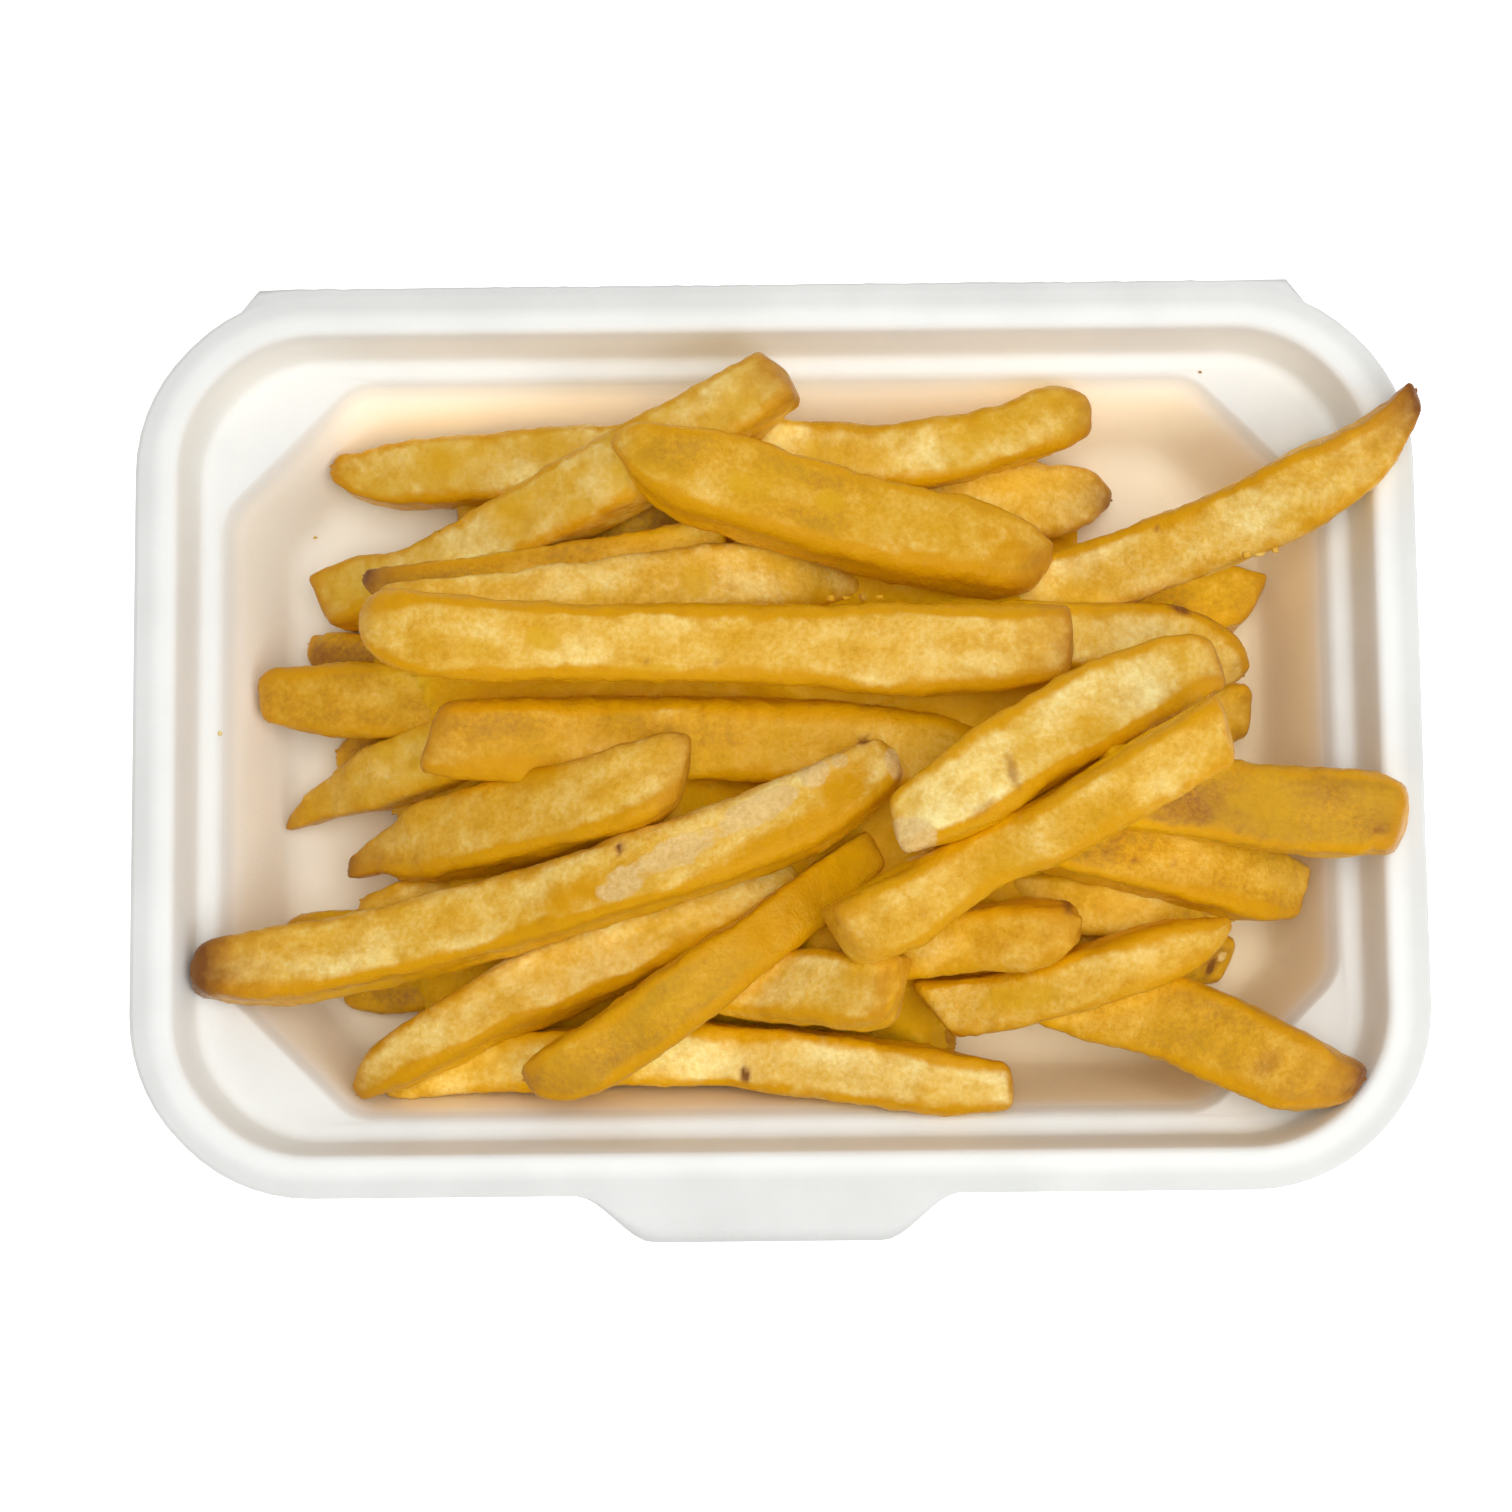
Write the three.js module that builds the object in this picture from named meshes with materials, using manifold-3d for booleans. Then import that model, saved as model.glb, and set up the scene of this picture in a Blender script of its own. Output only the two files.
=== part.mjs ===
// A shallow moulded-pulp takeaway tray with a heap of thick-cut fries in it.
// Millimetres, +Z up. X runs along the tray, +Y points to the torn-off lid's side,
// and the origin is the middle of the flat underside that the tray stands on.

import * as THREE from 'three';
import { mergeVertices } from 'three/addons/utils/BufferGeometryUtils.js';
import Module from 'manifold-3d';

const wasm = await Module();
wasm.setup();

// ---------------------------------------------------------------- sizes

// Tray
const HALF_LENGTH = 91.8; // to the flange's outer edge, along X
const HALF_DEPTH = 64.7; // to the flange's outer edge, along Y
const RIM_HEIGHT = 32;
const LEDGE_HEIGHT = 22; // the step that runs round below the rim
const PULP = 1.3; // thickness of the moulded sheet
const CORNER_RADIUS = 25;
const CORNER_FLAT = 0.8; // short flat that keeps a round corner's two arcs apart
const BASIN_INSET = 10.2; // from the flange's edge to the basin's edge
const BASIN_CUT = 19.5; // how much of each corner of the basin is cut off
const BASIN_RADIUS = 7;
const ARC_STEPS = 3; // segments in each eighth of a turn

// The inside of the tray, from the flange's edge down to the floor: [inset, height]
const FLANGE_EDGE = [0, RIM_HEIGHT - 0.5];
const FLANGE_EDGE_FOOT = [0, RIM_HEIGHT - 0.9];
const PROFILE = [
  [0.5, RIM_HEIGHT],
  [4.8, RIM_HEIGHT],
  [5.6, RIM_HEIGHT - 0.4],
  [6.1, RIM_HEIGHT - 1.2],
  [7.4, LEDGE_HEIGHT + 1.4],
  [8.0, LEDGE_HEIGHT + 0.4],
  [8.9, LEDGE_HEIGHT],
  [BASIN_INSET, LEDGE_HEIGHT - 0.1],
  [BASIN_INSET + 1.2, LEDGE_HEIGHT - 1.8],
  [BASIN_INSET + 6.6, PULP + 2.9],
  [BASIN_INSET + 8.4, PULP + 0.7],
  [BASIN_INSET + 10.4, PULP],
  [BASIN_INSET + 12, PULP],
];

// Opening tab at the front, and the torn hinge strip at the back
const TAB_CENTRE = -2;
const TAB_HALF_ROOT = 27;
const TAB_HALF_TIP = 16;
const TAB_REACH = 71.2;
const STRIP_HALF_LENGTH = 77.5;
const STRIP_REACH = 65.8;
const STRIP_OVERLAP = 5; // how far tab and strip run back into the flange
const FLAP_THICKNESS = 1.1;
const FLAP_TOP = RIM_HEIGHT - 0.2;

// Fries
const STATIONS = 25; // places along a fry where its height is worked out
const GAP = 0.3; // kept to the tray
const PRESS = 0.9; // how far a fry sinks into those below it
const STEEPEST = 0.35;
const RESTING_SHARE = 0.75; // share of a fry's length that its resting line clears
const HANG = 0.4; // how much of the open space below it a fry bends down into
const MOST_HANG = 3;
const GIVE = 0.5; // how much of a bump below it a fry bends up over
const EASE_REACH = 22; // distance to either side over which a fry's bends are smoothed
const LIFT_REACH = 45; // distance over which a fry rises to a place where the tray is higher
const CELL = 1; // grid of heap heights
const GRID_X = 200;
const GRID_Y = 140;

// Each fry is [height as a share of its width, route]. A route is the fry's middle line
// seen from above with the fry's width along it: [x, y, width].

// The bottom layer, of which next to nothing shows and which the core runs through
const BOTTOM_LAYER = [
  [1, [[-54, 23, 9.5], [-28, 23, 11.5], [-2, 23, 9.5]]],
  [1, [[1, 24, 9.5], [23, 24, 11.5], [46, 24, 9.5]]],
  [1, [[-46, 11, 9.5], [-22, 11, 11.5], [1, 11, 9.5]]],
  [1, [[4, 12, 9.5], [27, 12, 11.5], [49, 12, 9.5]]],
  [1, [[-32, -3, 9.5], [-12, -3, 11.5], [8, -3, 9.5]]],
  [1, [[11, -2, 9.5], [30, -2, 11.5], [49, -2, 9.5]]],
  [1, [[-21, -16, 9.5], [-2, -16, 11.5], [18, -17, 9.5]]],
  [1, [[21, -15, 9.5], [37, -15, 11.5], [53, -15, 9.5]]],
  [1, [[-24, -30, 9.5], [-6, -30, 11.5], [12, -30, 9.5]]],
  [1, [[15, -29, 9.5], [33, -29, 11.5], [51, -29, 9.5]]],
  [1, [[-45, 37, 9], [-24, 37, 11], [-2, 37, 9]]],
  [1, [[1, 38, 9], [18, 38, 11], [34, 38, 9]]],
];

// The fries that show, from the lowest to the topmost
const FRIES = [
  [1, [[-65.5, -35.5, 2], [-62, -36, 5], [-54, -35.5, 6], [-43, -34, 6]]],
  [1, [[-74.5, -27, 3], [-71.5, -27, 7], [-65, -27, 8], [-46, -25.5, 8]]],
  [1, [[-61.5, -22, 3], [-56.5, -23, 8], [-46, -22, 8.5], [-32.5, -20.5, 9]]],
  [1, [[-71, 17.5, 2.5], [-68, 15.5, 7], [-60, 14.5, 8], [-48, 13.5, 8]]],
  [1, [[67, -32, 7], [62.5, -31, 9], [53, -30, 9], [42, -29, 8]]],
  [1, [[26.5, -44, 2], [23, -43.5, 5], [18, -43.5, 6.5], [1.5, -42, 7]]],
  [1, [[-66.5, 1, 4], [-63, 0, 7.5], [-54, -0.5, 8.5], [-42, 0, 8.5]]],
  [1, [[70.5, 5.5, 8.5], [65.5, 5, 10.5], [56.5, 1, 10.5], [46.5, -5, 10]]],
  [1, [[72.5, 22, 9], [67, 22, 10.5], [59, 20.5, 10], [46.5, 17.5, 9]]],
  [1, [[35, 6.5, 3], [28.5, 7.5, 7], [18.5, 7.5, 8], [3.5, 8.5, 8]]],
  [1, [[-77, 8.5, 3], [-75, 8.5, 8], [-69.5, 8, 10.5], [-60.5, 7.5, 12], [-39.5, 6, 10]]],
  [1, [[-74, -10, 1.5], [-68.5, -7.5, 5], [-63, -5.5, 7.5], [-56.5, -3.5, 10], [-36.5, 2.5, 10]]],
  [1, [[-31, 28, 6], [-21.5, 31, 8.5], [-11, 35, 9.5], [-2.5, 39.5, 7.5]]],
  [1, [[-66.5, 43.5, 3.5], [-60.5, 42, 8.5], [-51.5, 42, 10.5], [-36, 42.5, 10.5], [-19.5, 43, 10]]],
  [1, [[51.5, 38.5, 2.5], [47.5, 38.5, 8.5], [41.5, 37.5, 11.5], [30.5, 36.5, 12], [6.5, 33, 9.5]]],
  [1, [[-11.5, 44, 10], [12.5, 41.5, 10], [23, 42, 10.5], [34, 45, 9.5], [41, 47.5, 10.5], [46.5, 48, 5.5]]],
  [1, [[-67.5, 23, 10], [-61.5, 24.5, 10.5], [-52.5, 25.5, 10], [-31.5, 34.5, 11.5], [-9.5, 45, 11],
    [1.5, 51.5, 9]]],
  [1, [[-60.5, 25.5, 2], [-56, 24, 5.5], [-43.5, 24.5, 6], [-19, 27.5, 7], [-7.5, 30, 7]]],
  [1, [[-56.5, 19.5, 4.5], [-46.5, 19, 8], [-31, 19.5, 10], [-4, 23, 11.5], [6, 23.5, 8], [13, 23.5, 2]]],
  [1, [[34, -23, 8.5], [41, -23.5, 9], [51, -24.5, 10], [63, -25.5, 8]]],
  [1, [[38, -36, 11], [46, -38, 12.5], [56, -40.5, 13], [71, -47.5, 12.5], [77.5, -50, 9], [82, -49.5, 2.5]]],
  [1, [[-58, -49, 3], [-51.5, -47.5, 7], [-39.5, -46, 9], [-11.5, -45, 9.5], [14, -48, 10], [24, -49.5, 9.5],
    [33, -50, 7]]],
  [1, [[22, -38.5, 9], [34, -37.5, 9], [53.5, -31.5, 9], [60.5, -29, 5.5], [64, -27, 1.5]]],
  [1, [[32.5, -13, 10], [42, -15.5, 10.5], [59.5, -19.5, 11], [68.5, -21.5, 11], [75, -22.5, 8.5]]],
  [1, [[11.5, -30.5, 8], [18.5, -30, 10], [28.5, -29, 10], [37, -28.5, 10], [42, -27, 5]]],
  [1, [[-13, -33, 10], [-6, -34.5, 11], [2.5, -35.5, 11], [11, -36.5, 11.5], [16.5, -36, 10]]],
  [0.8, [[-49, 0.5, 10.5], [-37, 0, 13], [-8.5, 0.5, 13], [17.5, -1, 12.5], [28, -3.5, 11.5]]],
  [1, [[34.5, 21.5, 10.5], [45.5, 23.5, 11], [68.5, 31.5, 11.5], [77, 35.5, 12], [83, 38.5, 10], [88, 43, 6.5],
    [91, 47.5, 3.5]]],
  [1, [[32, 14.5, 10.5], [41, 14.5, 11], [57.5, 14, 12], [64.5, 11.5, 10], [69.5, 10, 2.5]]],
  [0.9, [[44, -7.5, 11], [54, -9.5, 11.5], [75.5, -12, 12.5], [83.5, -12.5, 11.5], [87.5, -14, 8.5]]],
  [0.9, [[-63.5, -17.5, 3], [-58, -15.5, 6], [-53, -15, 10], [-47.5, -13.5, 12.5], [-27.5, -9.5, 12.5],
    [-18, -7, 12.5], [-13, -5.5, 9]]],
  [0.8, [[-23, 41, 2], [-19, 39.5, 8], [-14, 37, 12], [-6, 35, 13.5], [16.5, 29.5, 13.5], [26.5, 28, 13.5],
    [34.5, 25.5, 11.5], [39.5, 25, 6]]],
  [1, [[-61.5, -50.5, 2.5], [-57.5, -47, 7], [-51, -43.5, 9], [-41.5, -38, 10], [-30, -33, 12],
    [-6.5, -23, 10], [2, -19, 9]]],
  [1, [[-84, -32.5, 6], [-80.5, -32.5, 9.5], [-71.5, -32, 11.5], [-59.5, -30, 11.5], [-29.5, -22.5, 11.5],
    [-0.5, -13, 12], [11, -7, 10], [16.5, -3, 6.5]]],
  [1, [[-36.5, -48.5, 3.5], [-31.5, -47.5, 9], [-23, -43, 10], [-15, -37.5, 10.5], [-0.5, -27, 8.5],
    [7.5, -21, 8], [14, -15.5, 6]]],
  [1, [[8.5, -29, 10], [16.5, -25.5, 11.5], [27.5, -19, 9.5], [40.5, -13, 10], [61, -1.5, 10]]],
  [0.85, [[-58, 16.5, 4], [-55, 15, 10], [-47.5, 13.5, 13], [-33.5, 12.5, 11.5], [0.5, 12.5, 12],
    [16, 12, 14], [30.5, 12, 13], [41.5, 12.5, 11]]],
  [0.95, [[16.5, -14, 8.5], [26.5, -9, 13], [35, -3.5, 13], [46.5, 3, 13], [56, 7.5, 11], [62.5, 9, 7.5]]],
];

// Core: [half length, half depth, height] of its rings, from the bottom up
const CORE_RINGS = [
  [52, 35, PULP + 0.4],
  [55, 38, PULP + 3],
  [54, 37, PULP + 8],
  [50, 33, PULP + 10.5],
];
const CORE_CUT = 12;
const CORE_RADIUS = 10;

// ---------------------------------------------------------------- shapes

/** Closed outline round the middle: a rectangle with its corners cut off and rounded. */
function outline(halfX, halfY, cut, radius, z) {
  const lean = radius * (Math.SQRT2 - 1);
  const points = [];
  for (let eighth = 0; eighth < 8; eighth++) {
    const start = (eighth * Math.PI) / 4;
    const middle = start + Math.PI / 8;
    const besideX = Math.abs(Math.cos(middle)) > Math.abs(Math.sin(middle));
    const centreX = Math.sign(Math.cos(middle)) * (besideX ? halfX - radius : halfX - cut - lean);
    const centreY = Math.sign(Math.sin(middle)) * (besideX ? halfY - cut - lean : halfY - radius);
    for (let step = 0; step <= ARC_STEPS; step++) {
      const angle = start + (step / ARC_STEPS) * (Math.PI / 4);
      const x = centreX + radius * Math.cos(angle);
      const y = centreY + radius * Math.sin(angle);
      points.push(new THREE.Vector3(x, y, z));
    }
  }
  return points;
}

function centreOf(points) {
  const centre = new THREE.Vector3();
  for (const point of points) centre.add(point);
  return centre.divideScalar(points.length);
}

/** Closed surface through rings of equal length, with a fan of triangles at each end. */
function loft(rings) {
  const count = rings[0].length;
  const points = [...rings.flat(), centreOf(rings[0]), centreOf(rings.at(-1))];
  const firstCentre = points.length - 2;
  const lastCentre = points.length - 1;
  const lastRing = (rings.length - 1) * count;
  const index = [];
  for (let side = 0; side < count; side++) {
    const next = (side + 1) % count;
    index.push(firstCentre, next, side);
    index.push(lastCentre, lastRing + side, lastRing + next);
    for (let ring = 0; ring < rings.length - 1; ring++) {
      const low = ring * count;
      const high = low + count;
      index.push(low + side, low + next, high + side);
      index.push(low + next, high + next, high + side);
    }
  }
  const geometry = new THREE.BufferGeometry().setFromPoints(points);
  geometry.setIndex(index);
  return geometry;
}

function signedVolume(geometry) {
  const position = geometry.attributes.position;
  const index = geometry.index.array;
  const [a, b, c] = [new THREE.Vector3(), new THREE.Vector3(), new THREE.Vector3()];
  let sum = 0;
  for (let i = 0; i < index.length; i += 3) {
    a.fromBufferAttribute(position, index[i]);
    b.fromBufferAttribute(position, index[i + 1]);
    c.fromBufferAttribute(position, index[i + 2]);
    sum += a.dot(b.cross(c)) / 6;
  }
  return sum;
}

/** A three.js geometry as a solid that can be joined and cut. */
function toSolid(source) {
  const bare = source.clone();
  bare.deleteAttribute('normal');
  bare.deleteAttribute('uv');
  const geometry = mergeVertices(bare, 1e-4);
  const triVerts = Uint32Array.from(geometry.index.array);
  if (signedVolume(geometry) < 0) {
    for (let i = 0; i < triVerts.length; i += 3) {
      [triVerts[i + 1], triVerts[i + 2]] = [triVerts[i + 2], triVerts[i + 1]];
    }
  }
  const vertProperties = Float32Array.from(geometry.attributes.position.array);
  return new wasm.Manifold(new wasm.Mesh({ numProp: 3, vertProperties, triVerts }));
}

function toGeometry(solid) {
  const mesh = solid.getMesh();
  const geometry = new THREE.BufferGeometry();
  geometry.setAttribute('position', new THREE.BufferAttribute(mesh.vertProperties, 3));
  geometry.setIndex(new THREE.BufferAttribute(mesh.triVerts, 1));
  return geometry;
}

/** The largest shell of a geometry: sealed hollows are filled and loose scraps dropped. */
function largestShell(geometry) {
  const index = geometry.index.array;
  const parent = Array.from({ length: geometry.attributes.position.count }, (_, i) => i);
  const rootOf = (vertex) => {
    let root = vertex;
    while (parent[root] !== root) root = parent[root];
    parent[vertex] = root;
    return root;
  };
  for (let i = 0; i < index.length; i += 3) {
    parent[rootOf(index[i + 1])] = rootOf(index[i]);
    parent[rootOf(index[i + 2])] = rootOf(index[i]);
  }
  const shells = new Map();
  for (let i = 0; i < index.length; i += 3) {
    const root = rootOf(index[i]);
    if (!shells.has(root)) shells.set(root, []);
    shells.get(root).push(index[i], index[i + 1], index[i + 2]);
  }
  const pieces = [...shells.values()].map((triangles) => {
    const piece = new THREE.BufferGeometry();
    piece.setAttribute('position', geometry.attributes.position);
    piece.setIndex(triangles);
    return piece;
  });
  pieces.sort((a, b) => signedVolume(b) - signedVolume(a));
  return mergeVertices(pieces[0], 1e-4);
}

// ---------------------------------------------------------------- tray

/** The tray's outline at an inset from the flange's edge. */
function trayRing([inset, z]) {
  const halfX = HALF_LENGTH - inset;
  const halfY = HALF_DEPTH - inset;
  if (inset >= BASIN_INSET) {
    const cut = BASIN_CUT - (inset - BASIN_INSET) * (2 - Math.SQRT2);
    return outline(halfX, halfY, cut, BASIN_RADIUS, z);
  }
  const radius = CORNER_RADIUS - inset;
  return outline(halfX, halfY, radius * (2 - Math.SQRT2) + CORNER_FLAT, radius, z);
}

/** A profile moved sideways by a distance, up and out of the pulp where positive. */
function offsetProfile(profile, distance) {
  const normals = profile.slice(1).map(([inset, z], i) => {
    const along = new THREE.Vector2(inset - profile[i][0], z - profile[i][1]).normalize();
    return new THREE.Vector2(-along.y, along.x);
  });
  return profile.map(([inset, z], i) => {
    const before = normals[Math.max(i - 1, 0)];
    const after = normals[Math.min(i, normals.length - 1)];
    const miter = before.clone().add(after).normalize();
    const reach = distance / miter.dot(after);
    return [inset + miter.x * reach, z + miter.y * reach];
  });
}

/** The pulp shell. A lift thickens it upwards, for keeping the fries clear of it. */
function pulpShell(lift) {
  const inside = offsetProfile(PROFILE, lift).reverse();
  const underside = offsetProfile(PROFILE, -PULP);
  const edge = [
    [FLANGE_EDGE[0] - lift, FLANGE_EDGE[1]],
    [FLANGE_EDGE_FOOT[0] - lift, FLANGE_EDGE_FOOT[1]],
  ];
  return toSolid(loft([...inside, ...edge, ...underside].map(trayRing)));
}

function flap(shape) {
  const geometry = new THREE.ExtrudeGeometry(shape, {
    depth: FLAP_THICKNESS,
    bevelEnabled: false,
    curveSegments: 4,
  });
  geometry.translate(0, 0, FLAP_TOP - FLAP_THICKNESS);
  return toSolid(geometry);
}

function openingTab() {
  const shape = new THREE.Shape();
  const root = -(HALF_DEPTH - STRIP_OVERLAP);
  const shoulder = -HALF_DEPTH + 0.6;
  const slope = (TAB_HALF_ROOT + TAB_HALF_TIP) / 2;
  const middle = -(HALF_DEPTH + TAB_REACH) / 2;
  shape.moveTo(TAB_CENTRE + TAB_HALF_ROOT, root);
  shape.lineTo(TAB_CENTRE - TAB_HALF_ROOT, root);
  shape.lineTo(TAB_CENTRE - TAB_HALF_ROOT, shoulder);
  shape.quadraticCurveTo(TAB_CENTRE - slope - 3, shoulder - 0.4, TAB_CENTRE - slope, middle);
  shape.quadraticCurveTo(TAB_CENTRE - slope + 3, -TAB_REACH, TAB_CENTRE - TAB_HALF_TIP, -TAB_REACH);
  shape.lineTo(TAB_CENTRE + TAB_HALF_TIP, -TAB_REACH);
  shape.quadraticCurveTo(TAB_CENTRE + slope - 3, -TAB_REACH, TAB_CENTRE + slope, middle);
  shape.quadraticCurveTo(TAB_CENTRE + slope + 3, shoulder - 0.4, TAB_CENTRE + TAB_HALF_ROOT, shoulder);
  shape.closePath();
  return flap(shape);
}

function hingeStrip() {
  const shape = new THREE.Shape();
  const root = HALF_DEPTH - STRIP_OVERLAP;
  shape.moveTo(-STRIP_HALF_LENGTH, root);
  shape.lineTo(STRIP_HALF_LENGTH, root);
  shape.lineTo(STRIP_HALF_LENGTH + 3, root + 2.2);
  shape.quadraticCurveTo(STRIP_HALF_LENGTH + 1, root + 3.6, STRIP_HALF_LENGTH, STRIP_REACH);
  shape.lineTo(-STRIP_HALF_LENGTH + 3, STRIP_REACH - 0.6);
  shape.lineTo(-STRIP_HALF_LENGTH + 1.5, STRIP_REACH - 1);
  shape.lineTo(-STRIP_HALF_LENGTH, STRIP_REACH - 0.8);
  shape.lineTo(-STRIP_HALF_LENGTH - 2.6, root + 2.2);
  shape.closePath();
  return flap(shape);
}

// ---------------------------------------------------------------- fries

/** Height read off a profile of [inset, height] at an inset. */
function heightOnProfile(inset) {
  if (inset <= PROFILE[0][0]) return RIM_HEIGHT;
  for (let i = 1; i < PROFILE.length; i++) {
    const [before, high] = PROFILE[i - 1];
    const [after, low] = PROFILE[i];
    if (inset <= after) return high + ((low - high) * (inset - before)) / (after - before);
  }
  return PULP;
}

/** Height of the empty tray's inside at a place. */
function trayHeight(x, y) {
  const basinX = HALF_LENGTH - BASIN_INSET;
  const basinY = HALF_DEPTH - BASIN_INSET;
  const [ax, ay] = [Math.abs(x), Math.abs(y)];
  const corner = (basinX + basinY - BASIN_CUT - ax - ay) / Math.SQRT2;
  const inBasin = Math.min(basinX - ax, basinY - ay, corner);
  if (inBasin >= 0) return heightOnProfile(BASIN_INSET + inBasin);
  const besideX = ax - (HALF_LENGTH - CORNER_RADIUS);
  const besideY = ay - (HALF_DEPTH - CORNER_RADIUS);
  const round = Math.hypot(Math.max(besideX, 0), Math.max(besideY, 0));
  const inset = CORNER_RADIUS - round - Math.min(Math.max(besideX, besideY), 0);
  return heightOnProfile(Math.min(inset, BASIN_INSET));
}

/** Points of a smooth line through a route, at equal steps. */
function smoothRoute(route) {
  const before = route[0].map((value, axis) => 2 * value - route[1][axis]);
  const after = route.at(-1).map((value, axis) => 2 * value - route.at(-2)[axis]);
  const knots = [before, ...route, after];
  return Array.from({ length: STATIONS }, (_, station) => {
    const place = (station / (STATIONS - 1)) * (route.length - 1);
    const first = Math.min(Math.floor(place), route.length - 2);
    const t = place - first;
    return [0, 1, 2].map((axis) => {
      const [a, b, c, d] = knots.slice(first, first + 4).map((knot) => knot[axis]);
      const bend = (2 * a - 5 * b + 4 * c - d) * t * t + (3 * b - a - 3 * c + d) * t * t * t;
      return 0.5 * (2 * b + (c - a) * t + bend);
    });
  });
}

/** Stations along a fry: place, width, distance from its middle and sideways direction. */
function fryStations(route) {
  const line = smoothRoute(route);
  let walked = 0;
  const stations = line.map(([x, y, width], i) => {
    const [backX, backY] = line[Math.max(i - 1, 0)];
    const [nextX, nextY] = line[Math.min(i + 1, STATIONS - 1)];
    walked += Math.hypot(x - backX, y - backY);
    const step = Math.hypot(nextX - backX, nextY - backY);
    return { x, y, width, along: walked, sideX: (backY - nextY) / step, sideY: (nextX - backX) / step };
  });
  for (const station of stations) station.along -= walked / 2;
  return stations;
}

function cellOf(x, y) {
  const column = Math.floor(x / CELL + GRID_X / 2);
  const row = Math.floor(y / CELL + GRID_Y / 2);
  const clampedColumn = Math.min(Math.max(column, 0), GRID_X - 1);
  const clampedRow = Math.min(Math.max(row, 0), GRID_Y - 1);
  return clampedRow * GRID_X + clampedColumn;
}

/** Weight that falls from 1 to 0 over a reach to either side. */
function bell(distance, reach) {
  return 0.5 + 0.5 * Math.cos(Math.PI * Math.min(Math.abs(distance) / reach, 1));
}

/** Heights smoothed along a fry: each is read off the straight line that fits those near it. */
function eased(heights, stations) {
  return stations.map((station) => {
    const weights = stations.map(({ along }) => bell(along - station.along, EASE_REACH));
    const total = weights.reduce((sum, weight) => sum + weight, 0);
    const mean = (value) => stations.reduce((sum, _, i) => sum + weights[i] * value(i), 0) / total;
    const place = mean((i) => stations[i].along);
    const level = mean((i) => heights[i]);
    const spread = mean((i) => (stations[i].along - place) ** 2);
    const slope = mean((i) => (stations[i].along - place) * (heights[i] - level)) / spread;
    return level + slope * (station.along - place);
  });
}

/** Heights raised to the least ones where the tray is higher, and gently beside such places. */
function lifted(heights, stations) {
  return heights.map((height, i) => {
    const lifts = stations.map(({ least, along }, near) => {
      const short = Math.max(least - heights[near], 0);
      return short * bell(along - stations[i].along, LIFT_REACH);
    });
    return height + Math.max(...lifts);
  });
}

/** Lays one fry on the heap: gives every station its height z and raises the heap. */
function layFry([heightShare, route], heap) {
  const stations = fryStations(route);
  for (const station of stations) {
    const half = (station.width * heightShare) / 2;
    let support = -Infinity;
    for (const across of [-0.36, -0.18, 0, 0.18, 0.36]) {
      const reach = across * station.width;
      const x = station.x + station.sideX * reach;
      const y = station.y + station.sideY * reach;
      support = Math.max(support, heap[cellOf(x, y)]);
    }
    station.need = support + GAP + half;
    station.least = trayHeight(station.x, station.y) + GAP + half;
  }
  const mean = stations.reduce((sum, station) => sum + station.need, 0) / STATIONS;
  const lever = stations.reduce((sum, { along, need }) => sum + along * (need - mean), 0);
  const inertia = stations.reduce((sum, { along }) => sum + along * along, 0);
  const slope = THREE.MathUtils.clamp(lever / inertia, -STEEPEST, STEEPEST);
  const levels = stations.map(({ along, need }) => need - slope * along).sort((a, b) => a - b);
  const level = levels[Math.floor(RESTING_SHARE * (STATIONS - 1))];
  const bent = stations.map(({ along, need }) => {
    const line = level + slope * along;
    const space = line - need;
    return line - PRESS - (space > 0 ? Math.min(space * HANG, MOST_HANG) : space * GIVE);
  });
  const heights = lifted(eased(bent, stations), stations);
  stations.forEach((station, i) => { station.z = heights[i]; });
  raiseHeap(stations, heightShare, heap);
  return stations;
}

/** Marks the top of a laid fry in the heap's heights. */
function raiseHeap(stations, heightShare, heap) {
  const between = 6;
  const across = 14;
  for (let i = 0; i < STATIONS - 1; i++) {
    for (let part = 0; part < between; part++) {
      const t = part / between;
      const mix = (key) => stations[i][key] * (1 - t) + stations[i + 1][key] * t;
      for (let side = 0; side <= across; side++) {
        const share = side / across - 0.5;
        const reach = share * mix('width');
        const x = mix('x') + stations[i].sideX * reach;
        const y = mix('y') + stations[i].sideY * reach;
        const round = 1 - 0.35 * (2 * Math.abs(share)) ** 4;
        const top = mix('z') + ((heightShare * mix('width')) / 2) * round;
        const cell = cellOf(x, y);
        heap[cell] = Math.max(heap[cell], top);
      }
    }
  }
}

/** The solid of one laid fry: an eight-sided bar with a ring at each point of its route. */
function fryBar([heightShare, route], stations) {
  const corners = [[0.5, 0.3], [0.3, 0.5], [-0.3, 0.5], [-0.5, 0.3]];
  const section = [...corners, ...corners.map(([across, up]) => [-across, -up])];
  const rings = route.map((_, knot) => {
    const station = stations[Math.round((knot / (route.length - 1)) * (STATIONS - 1))];
    const { x, y, z, sideX, sideY, width } = station;
    return section.map(([across, up]) => new THREE.Vector3(
      x + sideX * across * width,
      y + sideY * across * width,
      z + up * width * heightShare,
    ));
  });
  return toSolid(loft(rings));
}

function fryHeap() {
  const heap = Float64Array.from({ length: GRID_X * GRID_Y }, (_, cell) => {
    const x = ((cell % GRID_X) + 0.5 - GRID_X / 2) * CELL;
    const y = (Math.floor(cell / GRID_X) + 0.5 - GRID_Y / 2) * CELL;
    return trayHeight(x, y);
  });
  const core = CORE_RINGS.map(([x, y, z]) => outline(x, y, CORE_CUT, CORE_RADIUS, z));
  let solid = toSolid(loft(core));
  for (const fry of [...BOTTOM_LAYER, ...FRIES]) solid = solid.add(fryBar(fry, layFry(fry, heap)));
  return largestShell(toGeometry(solid.subtract(pulpShell(GAP + 0.05))));
}

// ---------------------------------------------------------------- the part

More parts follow.
